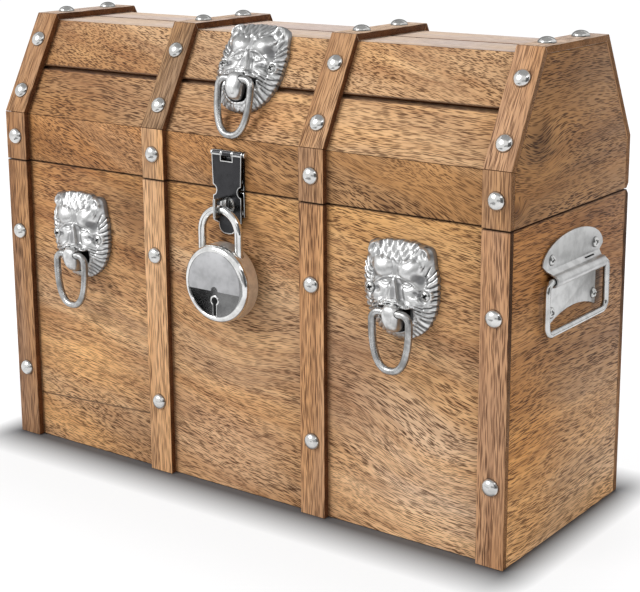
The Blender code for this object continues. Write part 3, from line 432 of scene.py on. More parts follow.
# Pale and deep tones of each kind of board
HONEY = ((0.840, 0.540, 0.300), (0.450, 0.235, 0.115))
DUSKY = ((0.640, 0.360, 0.165), (0.300, 0.145, 0.056))
UNDERSIDE = (HONEY[0], DUSKY[1])
LID_END = ((0.50, 0.26, 0.10), DUSKY[1])
# Top slats and top strips: their own timber tone, paled towards pink as a painted sheen of the bright top.
LID_TOP_SHEEN = ((0.64, 0.53, 0.475), (0.52, 0.41, 0.355))
STRIP_TOP_SHEEN = ((0.600, 0.470, 0.395), (0.470, 0.345, 0.275))
# Sawn edges and strip sides: a deep oiled tone, darkened further as painted shade where these narrow faces
# stand in corners and gaps.
SAWN_EDGE_SHADED = ((0.190, 0.080, 0.036), (0.075, 0.030, 0.014))
CORNER_EDGE = ((0.36, 0.19, 0.092), (0.20, 0.10, 0.048))
EDGE_SHEEN = 0.05


def on_front(x, z, wide, tall, mark, y=-BOARD_FACE):
    """A stain or knot on a front board: its place, its reach along each axis, and its tint or push."""
    return (x, y, z), (wide, 1.0, tall), mark


def on_end(y, z, wide, tall, mark):
    return (HALF_WIDTH, y, z), (1.0, wide, tall), mark


FRONT_STAINS = [on_front(-0.098, 0.190, 0.045, 0.060, (0.55, 0.46, 0.38)),
                on_front(-0.015, 0.215, 0.075, 0.055, (0.78, 0.72, 0.68)),
                on_front(0.158, 0.030, 0.118, 0.110, (1.40, 1.58, 1.92)),
                on_front(-0.150, 0.090, 0.070, 0.050, (1.20, 1.17, 1.04)),
                on_front(-0.175, 0.210, 0.080, 0.060, (0.84, 0.70, 0.60)),
                on_front(-0.010, 0.035, 0.100, 0.080, (1.20, 1.19, 1.22)),
                on_front(-0.170, 0.030, 0.080, 0.060, (1.16, 1.14, 1.06)),
                on_front(0.095, 0.110, 0.060, 0.070, (0.80, 0.76, 0.78))]
FRONT_KNOTS = [on_front(0.172, 0.060, 0.085, 0.065, (0.0, 0.0, 0.016)),
               on_front(-0.010, 0.120, 0.090, 0.060, (0.0, 0.0, 0.012))]
RAIL_STAINS = [on_front(-0.120, 0.250, 0.200, 1.0, (1.24, 1.18, 1.16))]
SLAT_STAINS = [on_front(-0.190, 0.280, 0.280, 0.075, (0.70, 0.60, 0.48), -0.07),
               on_front(0.190, 0.300, 0.200, 1.0, (1.10, 1.08, 1.02), -0.07),
               on_front(0.000, 0.283, 0.080, 0.020, (0.82, 0.68, 0.56), -0.07)]
END_STAINS = [on_end(-0.048, 0.284, 0.028, 0.020, (0.42, 0.38, 0.34)),
              on_end(0.0, 0.325, 0.080, 0.050, (0.78, 0.74, 0.68)),
              on_end(-0.079, 0.243, 0.011, 0.009, (0.45, 0.40, 0.36))]
END_KNOTS = [on_end(-0.050, 0.275, 0.050, 0.035, (0.0, 0.0, 0.014)),
             on_end(-0.079, 0.243, 0.018, 0.014, (0.0, 0.0, 0.012))]

# Each board's solid, finish, grain, cut, tones, (streaks, pores, waves) and what else marks it
BESIDE = {"paint": paint_shade_beside_strips}
FRONT = {"knots": FRONT_KNOTS, "stains": FRONT_STAINS, "paint": paint_front}
RAIL = {"stains": RAIL_STAINS, "paint": paint_shade_beside_strips}
FRONT_SLAT = {"stains": SLAT_STAINS, "paint": paint_slat}
BACK_SLAT = {"paint": paint_slat}
TOP_SLAT = {"paint": paint_top}
LEFT_END = {"stretch": (0.80, 0.82)}
RIGHT_END = {"stretch": (0.80, 0.82), "paint": paint_end}
LID_LEFT_END = {"stretch": (0.85, 0.88)}
LID_RIGHT_END = {"stretch": (0.85, 0.88), "knots": END_KNOTS, "stains": END_STAINS}
BOARDS = [
    ("front_panel", "front_boards", across_front(-9), (0.31, 0.0, 0.12),
     HONEY, (0.45, 1.0, 0.028), FRONT),
    ("back_panel", "back_boards", across_front(-3), (1.7, 0.4, 0.9),
     HONEY, (0.45, 0.8, 0.04), BESIDE),
    ("left_end_panel", "left_end_boards", across_end(-18), (2.3, 0.2, 0.5),
     DUSKY, (0.5, 1.0, 0.04), LEFT_END),
    ("right_end_panel", "right_end_boards", across_end(21), (0.6, 0.3, 1.4),
     DUSKY, (0.5, 1.0, 0.03), RIGHT_END),
    ("bottom_panel", "bottom_boards", ALONG_X, (3.1, 0.5, 0.3),
     UNDERSIDE, (0.4, 0.7, 0.03), {}),
    ("lid_front_rail", "front_rail_board", across_front(-22), (4.2, 0.3, 0.2),
     DUSKY, (0.45, 1.0, 0.05), RAIL),
    ("lid_back_rail", "back_rail_board", across_front(5), (5.1, 0.1, 0.7),
     DUSKY, (0.45, 0.9, 0.03), BESIDE),
    ("lid_front_lower_slat", "front_lower_slat_board", across_front(-4), (0.9, 1.3, 0.4),
     HONEY, (0.45, 1.0, 0.02), FRONT_SLAT),
    ("lid_front_upper_slat", "front_upper_slat_board", across_front(-15), (2.9, 0.8, 1.1),
     HONEY, (0.45, 1.0, 0.02), FRONT_SLAT),
    ("lid_top_front_slat", "top_front_slat_board", ALONG_X, (6.2, 0.3, 0.3),
     LID_TOP_SHEEN, (0.3, 0.35, 0.02), TOP_SLAT),
    ("lid_top_back_slat", "top_back_slat_board", ALONG_X, (7.4, 1.3, 0.6),
     LID_TOP_SHEEN, (0.3, 0.35, 0.02), TOP_SLAT),
    ("lid_back_upper_slat", "back_upper_slat_board", ALONG_X, (8.1, 0.2, 0.2),
     HONEY, (0.45, 0.8, 0.03), BACK_SLAT),
    ("lid_back_lower_slat", "back_lower_slat_board", ALONG_X, (9.3, 0.7, 0.9),
     HONEY, (0.45, 0.8, 0.03), BACK_SLAT),
    ("lid_left_end", "lid_left_end_board", across_end(-8), (1.1, 0.9, 0.2),
     DUSKY, (0.5, 1.0, 0.06), LID_LEFT_END),
    ("lid_right_end", "lid_right_end_board", across_end(-24), (3.6, 0.5, 0.8),
     LID_END, (0.45, 1.0, 0.03), LID_RIGHT_END),
]
INSIDE_FIGURE = (0.4, 0.8, 0.03)
EDGE_FIGURE = (0.4, 0.8, 0.02)
STRIP_FIGURE = (0.4, 0.9, 0.010)


def beyond_strips(point):
    """How far a point stands out of the faceted hoop that the strips' outer faces make."""
    over_slope = (Vector((0, abs(point.y), point.z)) - Vector((0, HALF_DEPTH, BEND_HEIGHT))).dot(
        Vector((0, SLOPE.z, SLOPE.y)))
    return max(abs(point.y) - HALF_DEPTH, point.z - TOP_HEIGHT, over_slope)


def ease_edges(build, edges, width):
    bmesh.ops.bevel(build, geom=edges, offset=width, offset_type="OFFSET", segments=2, profile=0.5,
                    affect="EDGES", material=-1, clamp_overlap=True)


def eased_copy(node, width):
    """A copy of a solid, flat faces joined, nail heads taken off and sharp edges rounded."""
    build = bmesh.new()
    build.from_mesh(frame["nodes"][node].data)
    bmesh.ops.remove_doubles(build, verts=build.verts, dist=1e-6)
    heads = [vert for vert in build.verts if "strip" in node and beyond_strips(vert.co) > 2e-5]
    if heads:
        bmesh.ops.delete(build, geom=heads, context="VERTS")
        bmesh.ops.holes_fill(build, edges=build.edges, sides=0)
    bmesh.ops.dissolve_limit(build, angle_limit=math.radians(1), verts=build.verts, edges=build.edges)
    sharp = [edge for edge in build.edges if edge.is_manifold and edge.calc_face_angle() > math.radians(24)]
    ease_edges(build, sharp, width)
    build.normal_update()
    return build


def eased_board(node, width, steep=0.3, lined=False):
    """An eased copy whose sawn edges take a second finish and, on a board, the chest's inside a third."""
    build = eased_copy(node, width)
    out = max(build.faces, key=lambda face: face.calc_area()).normal.copy()
    middle = Vector((0, 0, TOP_HEIGHT / 2))
    for face in build.faces:
        inward = lined and face.normal.dot(face.calc_center_median() - middle) < 0
        face.material_index = 1 if abs(face.normal.dot(out)) < steep else 2 * int(inward)
    return mesh_of(f"{node}_timber", build)


def add_boards(edge):
    """Boards: the finish outside, sawn edges, and a plain oiled inside."""
    inside = timber("inside_boards", ALONG_X, (4.7, 0.6, 0.3), DUSKY, INSIDE_FIGURE)
    inside_end = timber("inside_end_boards", ALONG_Y, (5.9, 0.2, 0.7), DUSKY, INSIDE_FIGURE)
    for node, name, turn, shift, tones, figure, marks in BOARDS:
        lining = inside_end if "_end" in node else inside
        finishes = [timber(name, turn, shift, tones, figure, **marks), edge, lining]
        body, slot = ("lid", "lid_wood") if node.startswith("lid_") else ("chest_body", "panel_wood")
        width = 0.0002 if node.endswith(("rail", "slat")) else 0.0007
        steep = 0.45 if node.startswith("lid_top") else 0.3
        link_piece(f"{node}_board", eased_board(node, width, steep, True), finishes, body, [node])


def add_strips(edge, corner_edge):
    """Wooden strips: each length takes its own cut, with the grain along it."""
    runs = {"front_strip": ("chest_body", ALONG_Z), "back_strip": ("chest_body", ALONG_Z),
            "lid_front_strip": ("lid", ALONG_Z), "lid_front_slope_strip": ("lid", ALONG_SLOPE),
            "lid_top_strip": ("lid", ALONG_Y), "lid_back_strip": ("lid", ALONG_BACK_SLOPE)}
    tones = [((0.60, 0.345, 0.185), (0.290, 0.142, 0.070)), ((0.90, 0.545, 0.290), (0.470, 0.250, 0.122)),
             ((0.72, 0.420, 0.225), (0.350, 0.180, 0.090)), ((0.64, 0.375, 0.210), (0.300, 0.155, 0.083))]
    lighter = {"front_strip_2": 1.1, "front_strip_3": 1.2, "front_strip_4": 1.4, "lid_front_strip_4": 0.95,
               "lid_front_slope_strip_2": 0.56, "lid_front_slope_strip_4": 1.3}
    for kind, (body, turn) in runs.items():
        for number, tone in enumerate(tones, 1):
            node = f"{kind}_{number}"
            share = lighter.get(node, 1.0)
            shades = [tuple(share * part for part in colour) for colour in tone]
            if kind == "lid_top_strip":
                shades = STRIP_TOP_SHEEN
            shift = (0.37 * number + 0.9 * len(kind), 0.21 * number, 0.13 * len(kind))
            finish = timber(f"{node}_finish", turn, shift, shades, STRIP_FIGURE, (0.62, 0.95))
            sides = corner_edge if number == 4 else edge
            batten = eased_board(node, 0.0003)
            link_piece(f"{node}_batten", batten, [finish, sides], body, [node])


# Metals
def metal(name, colour, rough, amount, grain, recess=None, worn=0.80):
    """Bare or plated metal; recess is the dark colour that the mesh's own attribute calls for: patina in
    hollows, and painted shade and painted reflection where a mesh marks them.
    """
    material, tree, shader = new_material(name)
    where = put(tree, "TexCoord").outputs["Object"]
    marks = use_group(tree, HANDLING, At=where, Amount=amount, Base=rough)
    tint = tuple(worn * part for part in colour)
    shade = blend_colours(tree, ramp(tree, marks["Smudge"], 0.38, 0.66), (*colour, 1), (*tint, 1))
    surface = marks["Roughness"]
    if recess:
        hollow = put(tree, "Attribute", {"attribute_name": "recess"}).outputs["Fac"]
        hollow = sums(tree, "ADD", hollow, sums(tree, "MULTIPLY", marks["Smudge"], 0.14))
        flat = tuple(0.58 * part for part in colour)
        shade = blend_colours(tree, ramp(tree, hollow, 0.46, 0.66), shade, (*flat, 1))
        share = ramp(tree, hollow, 0.60, 0.92)
        shade = blend_colours(tree, sums(tree, "MULTIPLY", share, 0.85), shade, (*recess, 1))
        # Near black where the mark is full: painted shade in the lions' mouths, under the tongues and in the
        # screws' crosses.
        shade = blend_colours(tree, ramp(tree, hollow, 0.93, 1.05), shade, (0.012, 0.012, 0.013, 1))
        surface = sums(tree, "ADD", surface, sums(tree, "MULTIPLY", share, 0.30), clamp=True)
    feed_all(tree, shader.inputs, Base_Color=shade, Roughness=surface, Metallic=1.0)
    raise_grain(tree, shader, marks["Height"], grain, 0.00008)
    return material


# The nails' recess colour paints the contact shade at their rims.
NICKEL = metal("nickel_nails", (0.68, 0.675, 0.66), 0.18, 0.22, 0.05, recess=(0.14, 0.13, 0.12))
# The cast knockers' recess colour serves their patina, and also the painted shade and painted reflection that
# lion_hollow marks.
CAST = metal("cast_silver", (0.77, 0.77, 0.765), 0.31, 0.35, 0.80, recess=(0.21, 0.21, 0.215), worn=0.62)
RING_FINISH = metal("ring_steel", (0.52, 0.52, 0.515), 0.26, 0.45, 2.2, worn=0.55)
CHROME = metal("polished_chrome", (0.78, 0.78, 0.77), 0.10, 0.14, 0.04)
LOCK_SATIN = metal("lock_plate_satin", (0.50, 0.50, 0.51), 0.48, 0.20, 0.30)
LOCK_POLISH = metal("lock_face_polish", (0.56, 0.56, 0.56), 0.07, 0.08, 0.03)
LOCK_DRUM = metal("lock_drum_satin", (0.88, 0.84, 0.79), 0.48, 0.20, 0.15)
# A near-black finish for sheets that paint the shade inside the keyway and the handles' punched slots.
HOLE_SHADE = metal("hole_shade_dark", (0.02, 0.02, 0.02), 0.6, 0.1, 0.1)
ZINC = metal("zinc_sheet", (0.60, 0.60, 0.595), 0.34, 0.20, 0.20)
BAIL_CHROME = metal("bail_chrome", (0.58, 0.58, 0.575), 0.16, 0.14, 0.04)
GUNMETAL = metal("gunmetal_sheet", (0.052, 0.052, 0.055), 0.24, 0.30, 0.25)
EYE_STEEL = metal("eye_steel", (0.20, 0.20, 0.195), 0.24, 0.30, 0.25)
BRIGHT_EDGE = metal("bright_edge_band", (0.74, 0.74, 0.73), 0.26, 0.25, 0.20)
HINGE_STEEL = metal("hinge_steel_sheet", (0.42, 0.41, 0.39), 0.36, 0.30, 0.30)
# The screws' recess colour paints the shade inside their crosses.
SCREW = metal("screw_zinc", (0.66, 0.66, 0.65), 0.22, 0.25, 0.15, recess=(0.02, 0.02, 0.022))


# Turned, wired and cast shapes
def smooth(low, high, value):
    """An eased step from 0 at low to 1 at high; low may be the larger."""
    t = min(max((value - low) / (high - low), 0.0), 1.0)
    return t * t * (3 - 2 * t)


def arc(centre, radius, start, end, steps):
    angles = [math.radians(start + (end - start) * i / steps) for i in range(steps + 1)]
    return [(centre[0] + radius * math.cos(a), centre[1] + radius * math.sin(a)) for a in angles]


def spun(profile, steps, near):
    build = bmesh.new()
    chain = [build.verts.new((radius, 0, height)) for radius, height in profile]
    edges = [build.edges.new(pair) for pair in zip(chain, chain[1:])]
    bmesh.ops.spin(build, geom=chain + edges, cent=(0, 0, 0), axis=(0, 0, 1), angle=2 * math.pi, steps=steps,
                   use_merge=True)
    bmesh.ops.remove_doubles(build, verts=build.verts, dist=near)
    return build


def turned(profile, steps):
    """A (radius, height) profile spun about its own Z, closed and facing out."""
    build = spun(profile, steps, 1e-7)
    bmesh.ops.recalc_face_normals(build, faces=build.faces)
    return build


def wire_mesh(name, points, radius, closed, matrix, sides=5):
    """A round wire along points (x, y) of its own plane."""
    curve = bpy.data.curves.new(name, "CURVE")
    curve.dimensions = "3D"
    curve.bevel_depth = radius
    curve.bevel_resolution = sides
    curve.use_fill_caps = not closed
    spline = curve.splines.new("POLY")
    spline.points.add(len(points) - 1)
    for point, (u, v) in zip(spline.points, points):
        point.co = (u, v, 0, 1)
    spline.use_cyclic_u = closed
    holder = bpy.data.objects.new(name, curve)
    bpy.context.scene.collection.objects.link(holder)
    mesh = bpy.data.meshes.new_from_object(holder.evaluated_get(bpy.context.evaluated_depsgraph_get()))
    bpy.data.objects.remove(holder, do_unlink=True)
    bpy.data.curves.remove(curve)
    build = bmesh.new()
    build.from_mesh(mesh)
    bmesh.ops.remove_doubles(build, verts=build.verts, dist=1e-7)
    bmesh.ops.transform(build, matrix=matrix, verts=build.verts)
    bmesh.ops.recalc_face_normals(build, faces=build.faces)
    return mesh_of(name, build)


HOLLOW_DEPTH = 0.0020
WALL_HOLLOW = 0.75


def relief(name, spokes, rings, edge, height, blur, hollow):
    """A cast or pressed face: a polar grid raised by a height, walled down to its back, hollows marked."""
    build = spun([(i / rings, 0) for i in range(rings + 1)], spokes, 1e-6)
    for vert in build.verts:
        share = vert.co.xy.length
        angle = math.atan2(vert.co.y, vert.co.x)
        reach = edge(angle) * share
        x, y = reach * math.cos(angle), reach * math.sin(angle)
        vert.co = (x, y, height(x, y, share))
    build.verts.index_update()
    level = [vert.co.z for vert in build.verts]
    near = [[link.other_vert(vert).index for link in vert.link_edges] for vert in build.verts]
    soft = level
    for _ in range(blur):
        soft = [(soft[i] + sum(soft[j] for j in near[i])) / (1 + len(near[i])) for i in range(len(soft))]
    layer = build.verts.layers.float.new("recess")
    for vert, own, around in zip(build.verts, level, soft):
        depth = max(0.5 + (around - own) / HOLLOW_DEPTH, hollow(vert.co.x, vert.co.y))
        vert[layer] = min(max(depth, 0.0), 1.0)
    rim = [link for link in build.edges if link.is_boundary]
    wall = bmesh.ops.extrude_edge_only(build, edges=rim)["geom"]
    for item in wall:
        if isinstance(item, bmesh.types.BMVert):
            item.co.z = 0.0
            item[layer] = WALL_HOLLOW
    foot = [item for item in wall if isinstance(item, bmesh.types.BMEdge) and item.is_boundary]
    bmesh.ops.edgeloop_fill(build, edges=foot)
    bmesh.ops.recalc_face_normals(build, faces=build.faces)
    return mesh_of(name, build)


def flat_sheet(outline, thick, ease):
    """A flat outline raised by its thickness, with its front edge eased."""
    build = bmesh.new()
    face = build.faces.new([build.verts.new((u, v, 0)) for u, v in outline])
    raised = bmesh.ops.extrude_face_region(build, geom=[face])["geom"]
    front = [item for item in raised if isinstance(item, bmesh.types.BMVert)]
    bmesh.ops.translate(build, vec=(0, 0, thick), verts=front)
    bmesh.ops.recalc_face_normals(build, faces=build.faces)
    top = [link for link in build.edges if all(vert.co.z > thick / 2 for vert in link.verts)]
    ease_edges(build, top, ease)
    return build


# Dome nails
def nail_places():
    """(place, right, up, body) of each nail on the strips' outer faces."""
    for x in STRIP_PLACES:
        for side in (-1, 1):
            right = (-side, 0, 0)
            for z in (0.057, LID_LINE - 0.058):
                yield (x, side * HALF_DEPTH, z), right, (0, 0, 1), "chest_body"
            yield (x, side * HALF_DEPTH, LID_LINE + 0.0195), right, (0, 0, 1), "lid"
            up = Vector((0, -side * SLOPE.y, SLOPE.z))
            for along in (0.0185, SLOPE_LENGTH - 0.0225):
                yield Vector((x, side * HALF_DEPTH, BEND_HEIGHT)) + up * along, right, up, "lid"
            yield (x, side * 0.024, TOP_HEIGHT), (1, 0, 0), (0, 1, 0), "lid"


def add_nails():
    rounding = [(NAIL_RADIUS * math.sin(a), NAIL_HEIGHT * math.cos(a)) for a in
                [math.radians(6 + 84 * i / 9) for i in range(10)]]
    profile = [(0, NAIL_HEIGHT)] + rounding + [(NAIL_RADIUS, -NAIL_SINK), (0, -NAIL_SINK)]
    build = turned(profile, 28)
    # Painted contact shade: each dome darkens towards its rim, where it meets the strip.
    rim_shade = build.verts.layers.float.new("recess")
    for vert in build.verts:
        vert[rim_shade] = 0.84 - 0.54 * smooth(0.0, 0.0018, vert.co.z)
    dome = mesh_of("nail_dome", build)
    chance = random.Random(7)
    parts = {"chest_body": [], "lid": []}
    for place, right, up, body in nail_places():
        size = Matrix.Diagonal((1 + chance.uniform(-0.02, 0.02), 1 + chance.uniform(-0.02, 0.02), 1.0, 1.0))
        parts[body].append((dome, facing(place, right, up) @ size))
    for name, body in (("body_strip_nails", "chest_body"), ("lid_strip_nails", "lid")):
        link_piece(name, gather(name, parts[body]), [NICKEL], body)


# Cross-head screws
def screw_cross(x, y):
    """1 in the driver's cross, 0 beside it."""
    arm, length = min(abs(x), abs(y)), max(abs(x), abs(y))
    return (1 - smooth(0.00035, 0.00075, arm)) * (1 - smooth(0.0016, 0.0023, length))


def screw_height(x, y, share):
    return 0.0004 + 0.0015 * (1 - share ** 2.4) - 0.0013 * screw_cross(x, y)


SCREW_RADIUS = 0.0035
# The cross is marked full in the recess attribute, painting it near black as the shade inside it.
SCREW_HEAD = relief("screw_head", 48, 14, lambda angle: SCREW_RADIUS, screw_height, 10, screw_cross)


def add_screws(name, places, body):
    """Screw heads at (matrix, turn, size) places, joined as one piece."""
    heads = [(SCREW_HEAD, matrix @ Matrix.Rotation(turn, 4, "Z") @ Matrix.Scale(size, 4))
             for matrix, turn, size in places]
    link_piece(name, gather(name, heads), [SCREW], body)


# Lion knockers, worked in millimetres: x to the right, y up, height out from the board
LION_HALF_WIDTH = 29.5
LION_HALF_HEIGHT = 34.2
MOUTH = -13.5
STANDOFF = 16.5
LOCKS = 23
BROW_DROP = 2.2
MUZZLE_DROP = 1.7
BOSS_X, BOSS_Y, BOSS_HEIGHT = 22.0, -0.5, 7.6
# Ring and tongue, in metres
RING_WIRE = 0.0027
RING_HALF_WIDTH = 0.0148
RING_LENGTH = 0.0405
TONGUE_BAR = Vector((0.0, 0.0043, 0.0027))


def hill(x, y, at_x, at_y, wide, tall, rise):
    return rise * math.exp(-((x - at_x) / wide) ** 2 - ((y - at_y) / tall) ** 2)


def ridge(distance, width):
    return math.exp(-(distance / width) ** 2)


def lock_phase(side, y, share):
    """Number and offset (-0.5 to 0.5) of the mane's lock at a point; locks sweep back as they go out."""
    turn = LOCKS * (math.atan2(y, max(side, 1e-6)) + 0.40 * (1 - share)) / math.pi
    uneven = 0.13 * math.sin(1.7 * turn) + 0.07 * math.sin(3.1 * turn + 1.0)
    turn += uneven + 0.17 * math.sin(13.0 * share + 0.9 * turn)
    return math.floor(turn), turn - math.floor(turn) - 0.5


def lion_edge(angle):
    """Distance to the mask's edge: square at the ears, drawn in below them, lightly notched by the mane."""
    c, s = abs(math.cos(angle)), math.sin(angle)
    power = 3.4 if s > 0 else 2.1
    reach = 1 / ((c / LION_HALF_WIDTH) ** power + (abs(s) / LION_HALF_HEIGHT) ** power) ** (1 / power)
    lean = math.degrees(math.atan2(s, c))
    offset = lock_phase(c, s, 1.0)[1]
    notch = 0.8 * smooth(0.15, 0.5, abs(offset)) * (1 - smooth(26, 36, lean))
    ear = 2.0 * ridge(lean - 52, 7) - 1.2 * ridge(lean - 36, 6) - 1.0 * ridge(lean - 65, 4)
    crown = (0.35 * math.sin(math.radians(17 * lean)) - 0.35) * smooth(62, 70, lean)
    return (reach - notch + ear + crown - 0.1) / 1000


def lip_line(side):
    return -9.1 - 1.2 * smooth(0.5, 6.5, side) + 0.6 * smooth(9.0, 14.0, side)


def mouth_arch(side, y):
    """Squared distance from the mouth's middle, 1 on its arched edge."""
    return (side / 14.0) ** 2 + ((min(y, -12.5) + 12.5) / 15.5) ** 2


def open_mouth(side, y):
    """1 inside the arched mouth, 0 outside."""
    lip = lip_line(side)
    return (1 - smooth(0.80, 1.0, mouth_arch(side, y))) * (1 - smooth(lip - 0.7, lip, y))


def lion_height(x, y, share):
    x, y = 1000 * x, 1000 * y
    side = abs(x)
    rise = 3.4 + 8.0 * (1 - share ** 3)
    face = 1 - smooth(0.74, 0.86, share)
    rise += face * (brow_and_eye(side, y + BROW_DROP) + nose_and_muzzle(x, side, y))
    rise += mane(side, y, share) + beard(side, y, share) + crown_and_ears(x, side, y) + chin(side, y)
    rise += (4.0 - rise) * open_mouth(side, y)
    boss = math.hypot(side - BOSS_X, y - BOSS_Y)
    rise += (BOSS_HEIGHT - rise) * (1 - smooth(4.0, 5.6, boss))
    return max(rise, 1.6) / 1000


def patina(depth, across, along):
    return depth * (1 - smooth(0.6, 1.1, math.hypot(across, along)))


def lion_hollow(x, y):
    """The mouth is painted dark all through as shade; a dark reflection is painted on the temples; old patina
    stays on the nose, between the brows and in the pits beside the eyes.
    """
    side, y = 1000 * abs(x), 1000 * y
    # Painted shade: the open mouth is marked near black.
    mouth = open_mouth(side, y) * (1.0 - 0.18 * smooth(7.0, 9.5, side))
    y += BROW_DROP
    # Painted reflection: a dark patch on each temple, where a smooth facet mirrors a dark surrounding.
    out, up = side - 17.6, y - 12.8
    along, above = 0.80 * out - 0.60 * up, 0.60 * out + 0.80 * up
    temple_reflection = 0.80 * (1 - smooth(0.45, 1.30, (abs(along / 6.0) ** 3 + abs(above / 4.2) ** 3) ** (1 / 3)))
    temple_reflection *= 1 - smooth(20.5, 22.0, side)
    pit = patina(0.80, (side - 15.8) / 3.4, (y - 2.4 + 0.3 * (side - 15.8)) / 2.0)
    nose = patina(0.74, side / 2.6, (y - 2.0) / 6.5)
    channel = patina(0.68, side / 2.4, (y - 17.0) / 5.0)
    return max(mouth, temple_reflection, pit, nose, channel)


def locks(side, y, share, start, end, plump):
    """A row of plump tapered locks, each with finer strands, between two rings of the mask."""
    number, offset = lock_phase(side, y, share)
    vary = math.sin(12.9 * number + 1.7)
    start += 0.035 * vary
    along = min((share - start) / (end - start), 1.0)
    if along <= 0:
        return 0.0
    across = max(0.0, 1 - (offset / (0.5 - 0.10 * along)) ** 2)
    swell = plump * (1 + 0.25 * vary) * smooth(0.0, 0.25, along) * (1 - 0.35 * along)
    strand = 0.10 * math.cos(2 * math.pi * 2.6 * offset + vary) * across
    return swell * (math.sqrt(across) - 0.5 + strand)


def mane(side, y, share):
    chin_gap = (1 - smooth(5.0, 8.0, side)) * (1 - smooth(-27.0, -24.0, y))
    return (1 - smooth(18.0, 22.5, y)) * (1 - chin_gap) * locks(side, y, share, 0.70, 1.0, 1.7)


def beard(side, y, share):
    """A second, inner row below the cheeks."""
    clear = smooth(14.0, 16.0, side) * (1 - smooth(-9.0, -5.0, y)) * (1 - smooth(0.70, 0.80, share))
    return clear * locks(side * 0.94, y - 1.5, share, 0.52, 0.78, 1.9)


def chin(side, y):
    lip = 1.3 * ridge(math.sqrt(mouth_arch(side, y)) - 1.06, 0.06) * (1 - smooth(-20.0, -14.0, y))
    return lip + hill(side, y, 0.0, -31.0, 6.5, 2.6, 2.2)


def brow_and_eye(side, y):
    """Two smooth domes with a crisp lower edge, a channel between them, and small lidded eyes below."""
    edge = 11.9 - 0.028 * (side - 2.0) ** 2
    oval = ((side - 11.4) / 9.6) ** 2 + ((y - 18.2) / 7.8) ** 2
    dome = 3.3 * max(0.0, 1 - oval) ** 0.85 * smooth(edge - 0.3, edge + 2.2, y)
    rim = 0.9 * ridge(y - edge - 0.6, 0.65) * smooth(1.0, 2.5, side) * (1 - smooth(17.5, 20.5, side))
    flank = -2.2 * smooth(15.5, 20.5, side) * ridge(y - 12.5, 6.0)
    socket = hill(side, y, 8.8, 8.0, 5.8, 2.6, -2.4)
    ball = hill(side, y, 8.6, 7.7, 2.1, 1.3, 1.5)
    reach = (side - 8.6) / 3.4
    bow = 1 - reach * reach
    lids = 0.0
    if bow > 0:
        lids = 0.6 * ridge(y - 7.5 - 1.3 * bow, 0.5) + 0.5 * ridge(y - 7.5 + 1.1 * bow, 0.5)
    pupil = hill(side, y, 8.4, 7.7, 0.7, 0.6, -0.7)
    pit = hill(side, y, 14.8, 2.2, 2.8, 1.9, -1.9)
    return dome + rim + flank + socket + ball + lids + pupil + pit


def nose_and_muzzle(x, side, y):
    """A long flat wedge down the nose with raised edges, a broad nose, puffed lips and full cheeks."""
    below = y - lip_line(side)
    y += MUZZLE_DROP
    half = 0.8 + 0.23 * min(max(12.0 - y, 0.0), 15.0)
    run = smooth(-5.0, -3.2, y) * (1 - smooth(10.0, 13.5, y))
    wedge = run * (1.7 + 0.075 * (12.0 - y)) / (1 + math.exp((side - half) / 0.30))
    wedge += run * (0.55 * ridge(side - half + 0.5, 0.55) - 0.9 * ridge(side - half - 2.4, 1.5))
    nose = hill(side, y, 0.0, -5.4, 5.2, 2.2, 3.3) + hill(side, y, 5.6, -5.2, 1.9, 1.6, 1.7)
    nose -= 0.9 * ridge(y + 3.0, 0.7) * (1 - smooth(4.0, 6.0, side))
    nostril = hill(side, y, 3.2, -7.0, 1.3, 0.8, -2.2)
    pads = hill(side, y, 9.2, -7.2, 5.0, 2.5, 3.4) - 1.2 * ridge(x, 0.7) * ridge(y + 8.0, 1.3)
    rim = 0.7 * ridge(below - 0.6, 0.55) * (1 - smooth(12.0, 14.5, side))
    cheek = hill(side, y, 14.5, -3.0, 6.0, 4.5, 1.3)
    crease = -1.3 * ridge(0.83 * (y + 4.2) + 0.55 * (side - 7.5), 0.8) * smooth(6.5, 8.0, side)
    crease *= 1 - smooth(13.5, 16.0, side)
    dots = sum(hill(side, y, 7.4 + 2.1 * place, -6.6 - 1.3 * row, 0.5, 0.45, -0.6)
               for row in range(2) for place in range(3))
    return wedge + nose + nostril + pads + rim + cheek + crease + dots


def crown_and_ears(x, side, y):
    """Short curls over the brow, and a cupped ear in each top corner."""
    if y < 12:
        return 0.0
    tufts = 0.0
    for number, place in enumerate((-14.2, -11.0, -7.6, -4.4, -1.0, 2.2, 5.4, 8.8, 12.0, 14.8)):
        bend = place * (1 + 0.045 * (y - 27.0)) + 0.45 * math.sin(0.7 * (y - 24.0) + 2.6 * number)
        root = 21.6 + 1.2 * math.sin(2.3 * number)
        tufts += 1.5 * ridge(x - bend, 1.25) * smooth(root - 1.5, root + 1.5, y)
        tufts -= 0.5 * ridge(x - bend - 0.3, 0.35) * smooth(root, root + 2.0, y) * (1 - smooth(30.5, 33.0, y))
    out, up = side - 20.0 + 0.45 * (y - 26.8), y - 26.8 - 0.30 * (side - 20.0)
    reach = math.hypot(out * 1.12, up * 0.80)
    outer = smooth(-2.5, 2.5, out + 0.5 * up)
    ear = 2.4 * ridge(reach, 5.6) + 1.6 * ridge(reach - 3.6, 0.9) * outer - 2.2 * ridge(reach, 2.2)
    curl = 0.8 * ridge(out - 0.15 * up * up + 0.4, 0.6) * ridge(up, 2.4)
    return tufts - 0.5 * smooth(21.0, 24.0, y) * (1 - smooth(15.0, 16.5, side)) + ear + curl


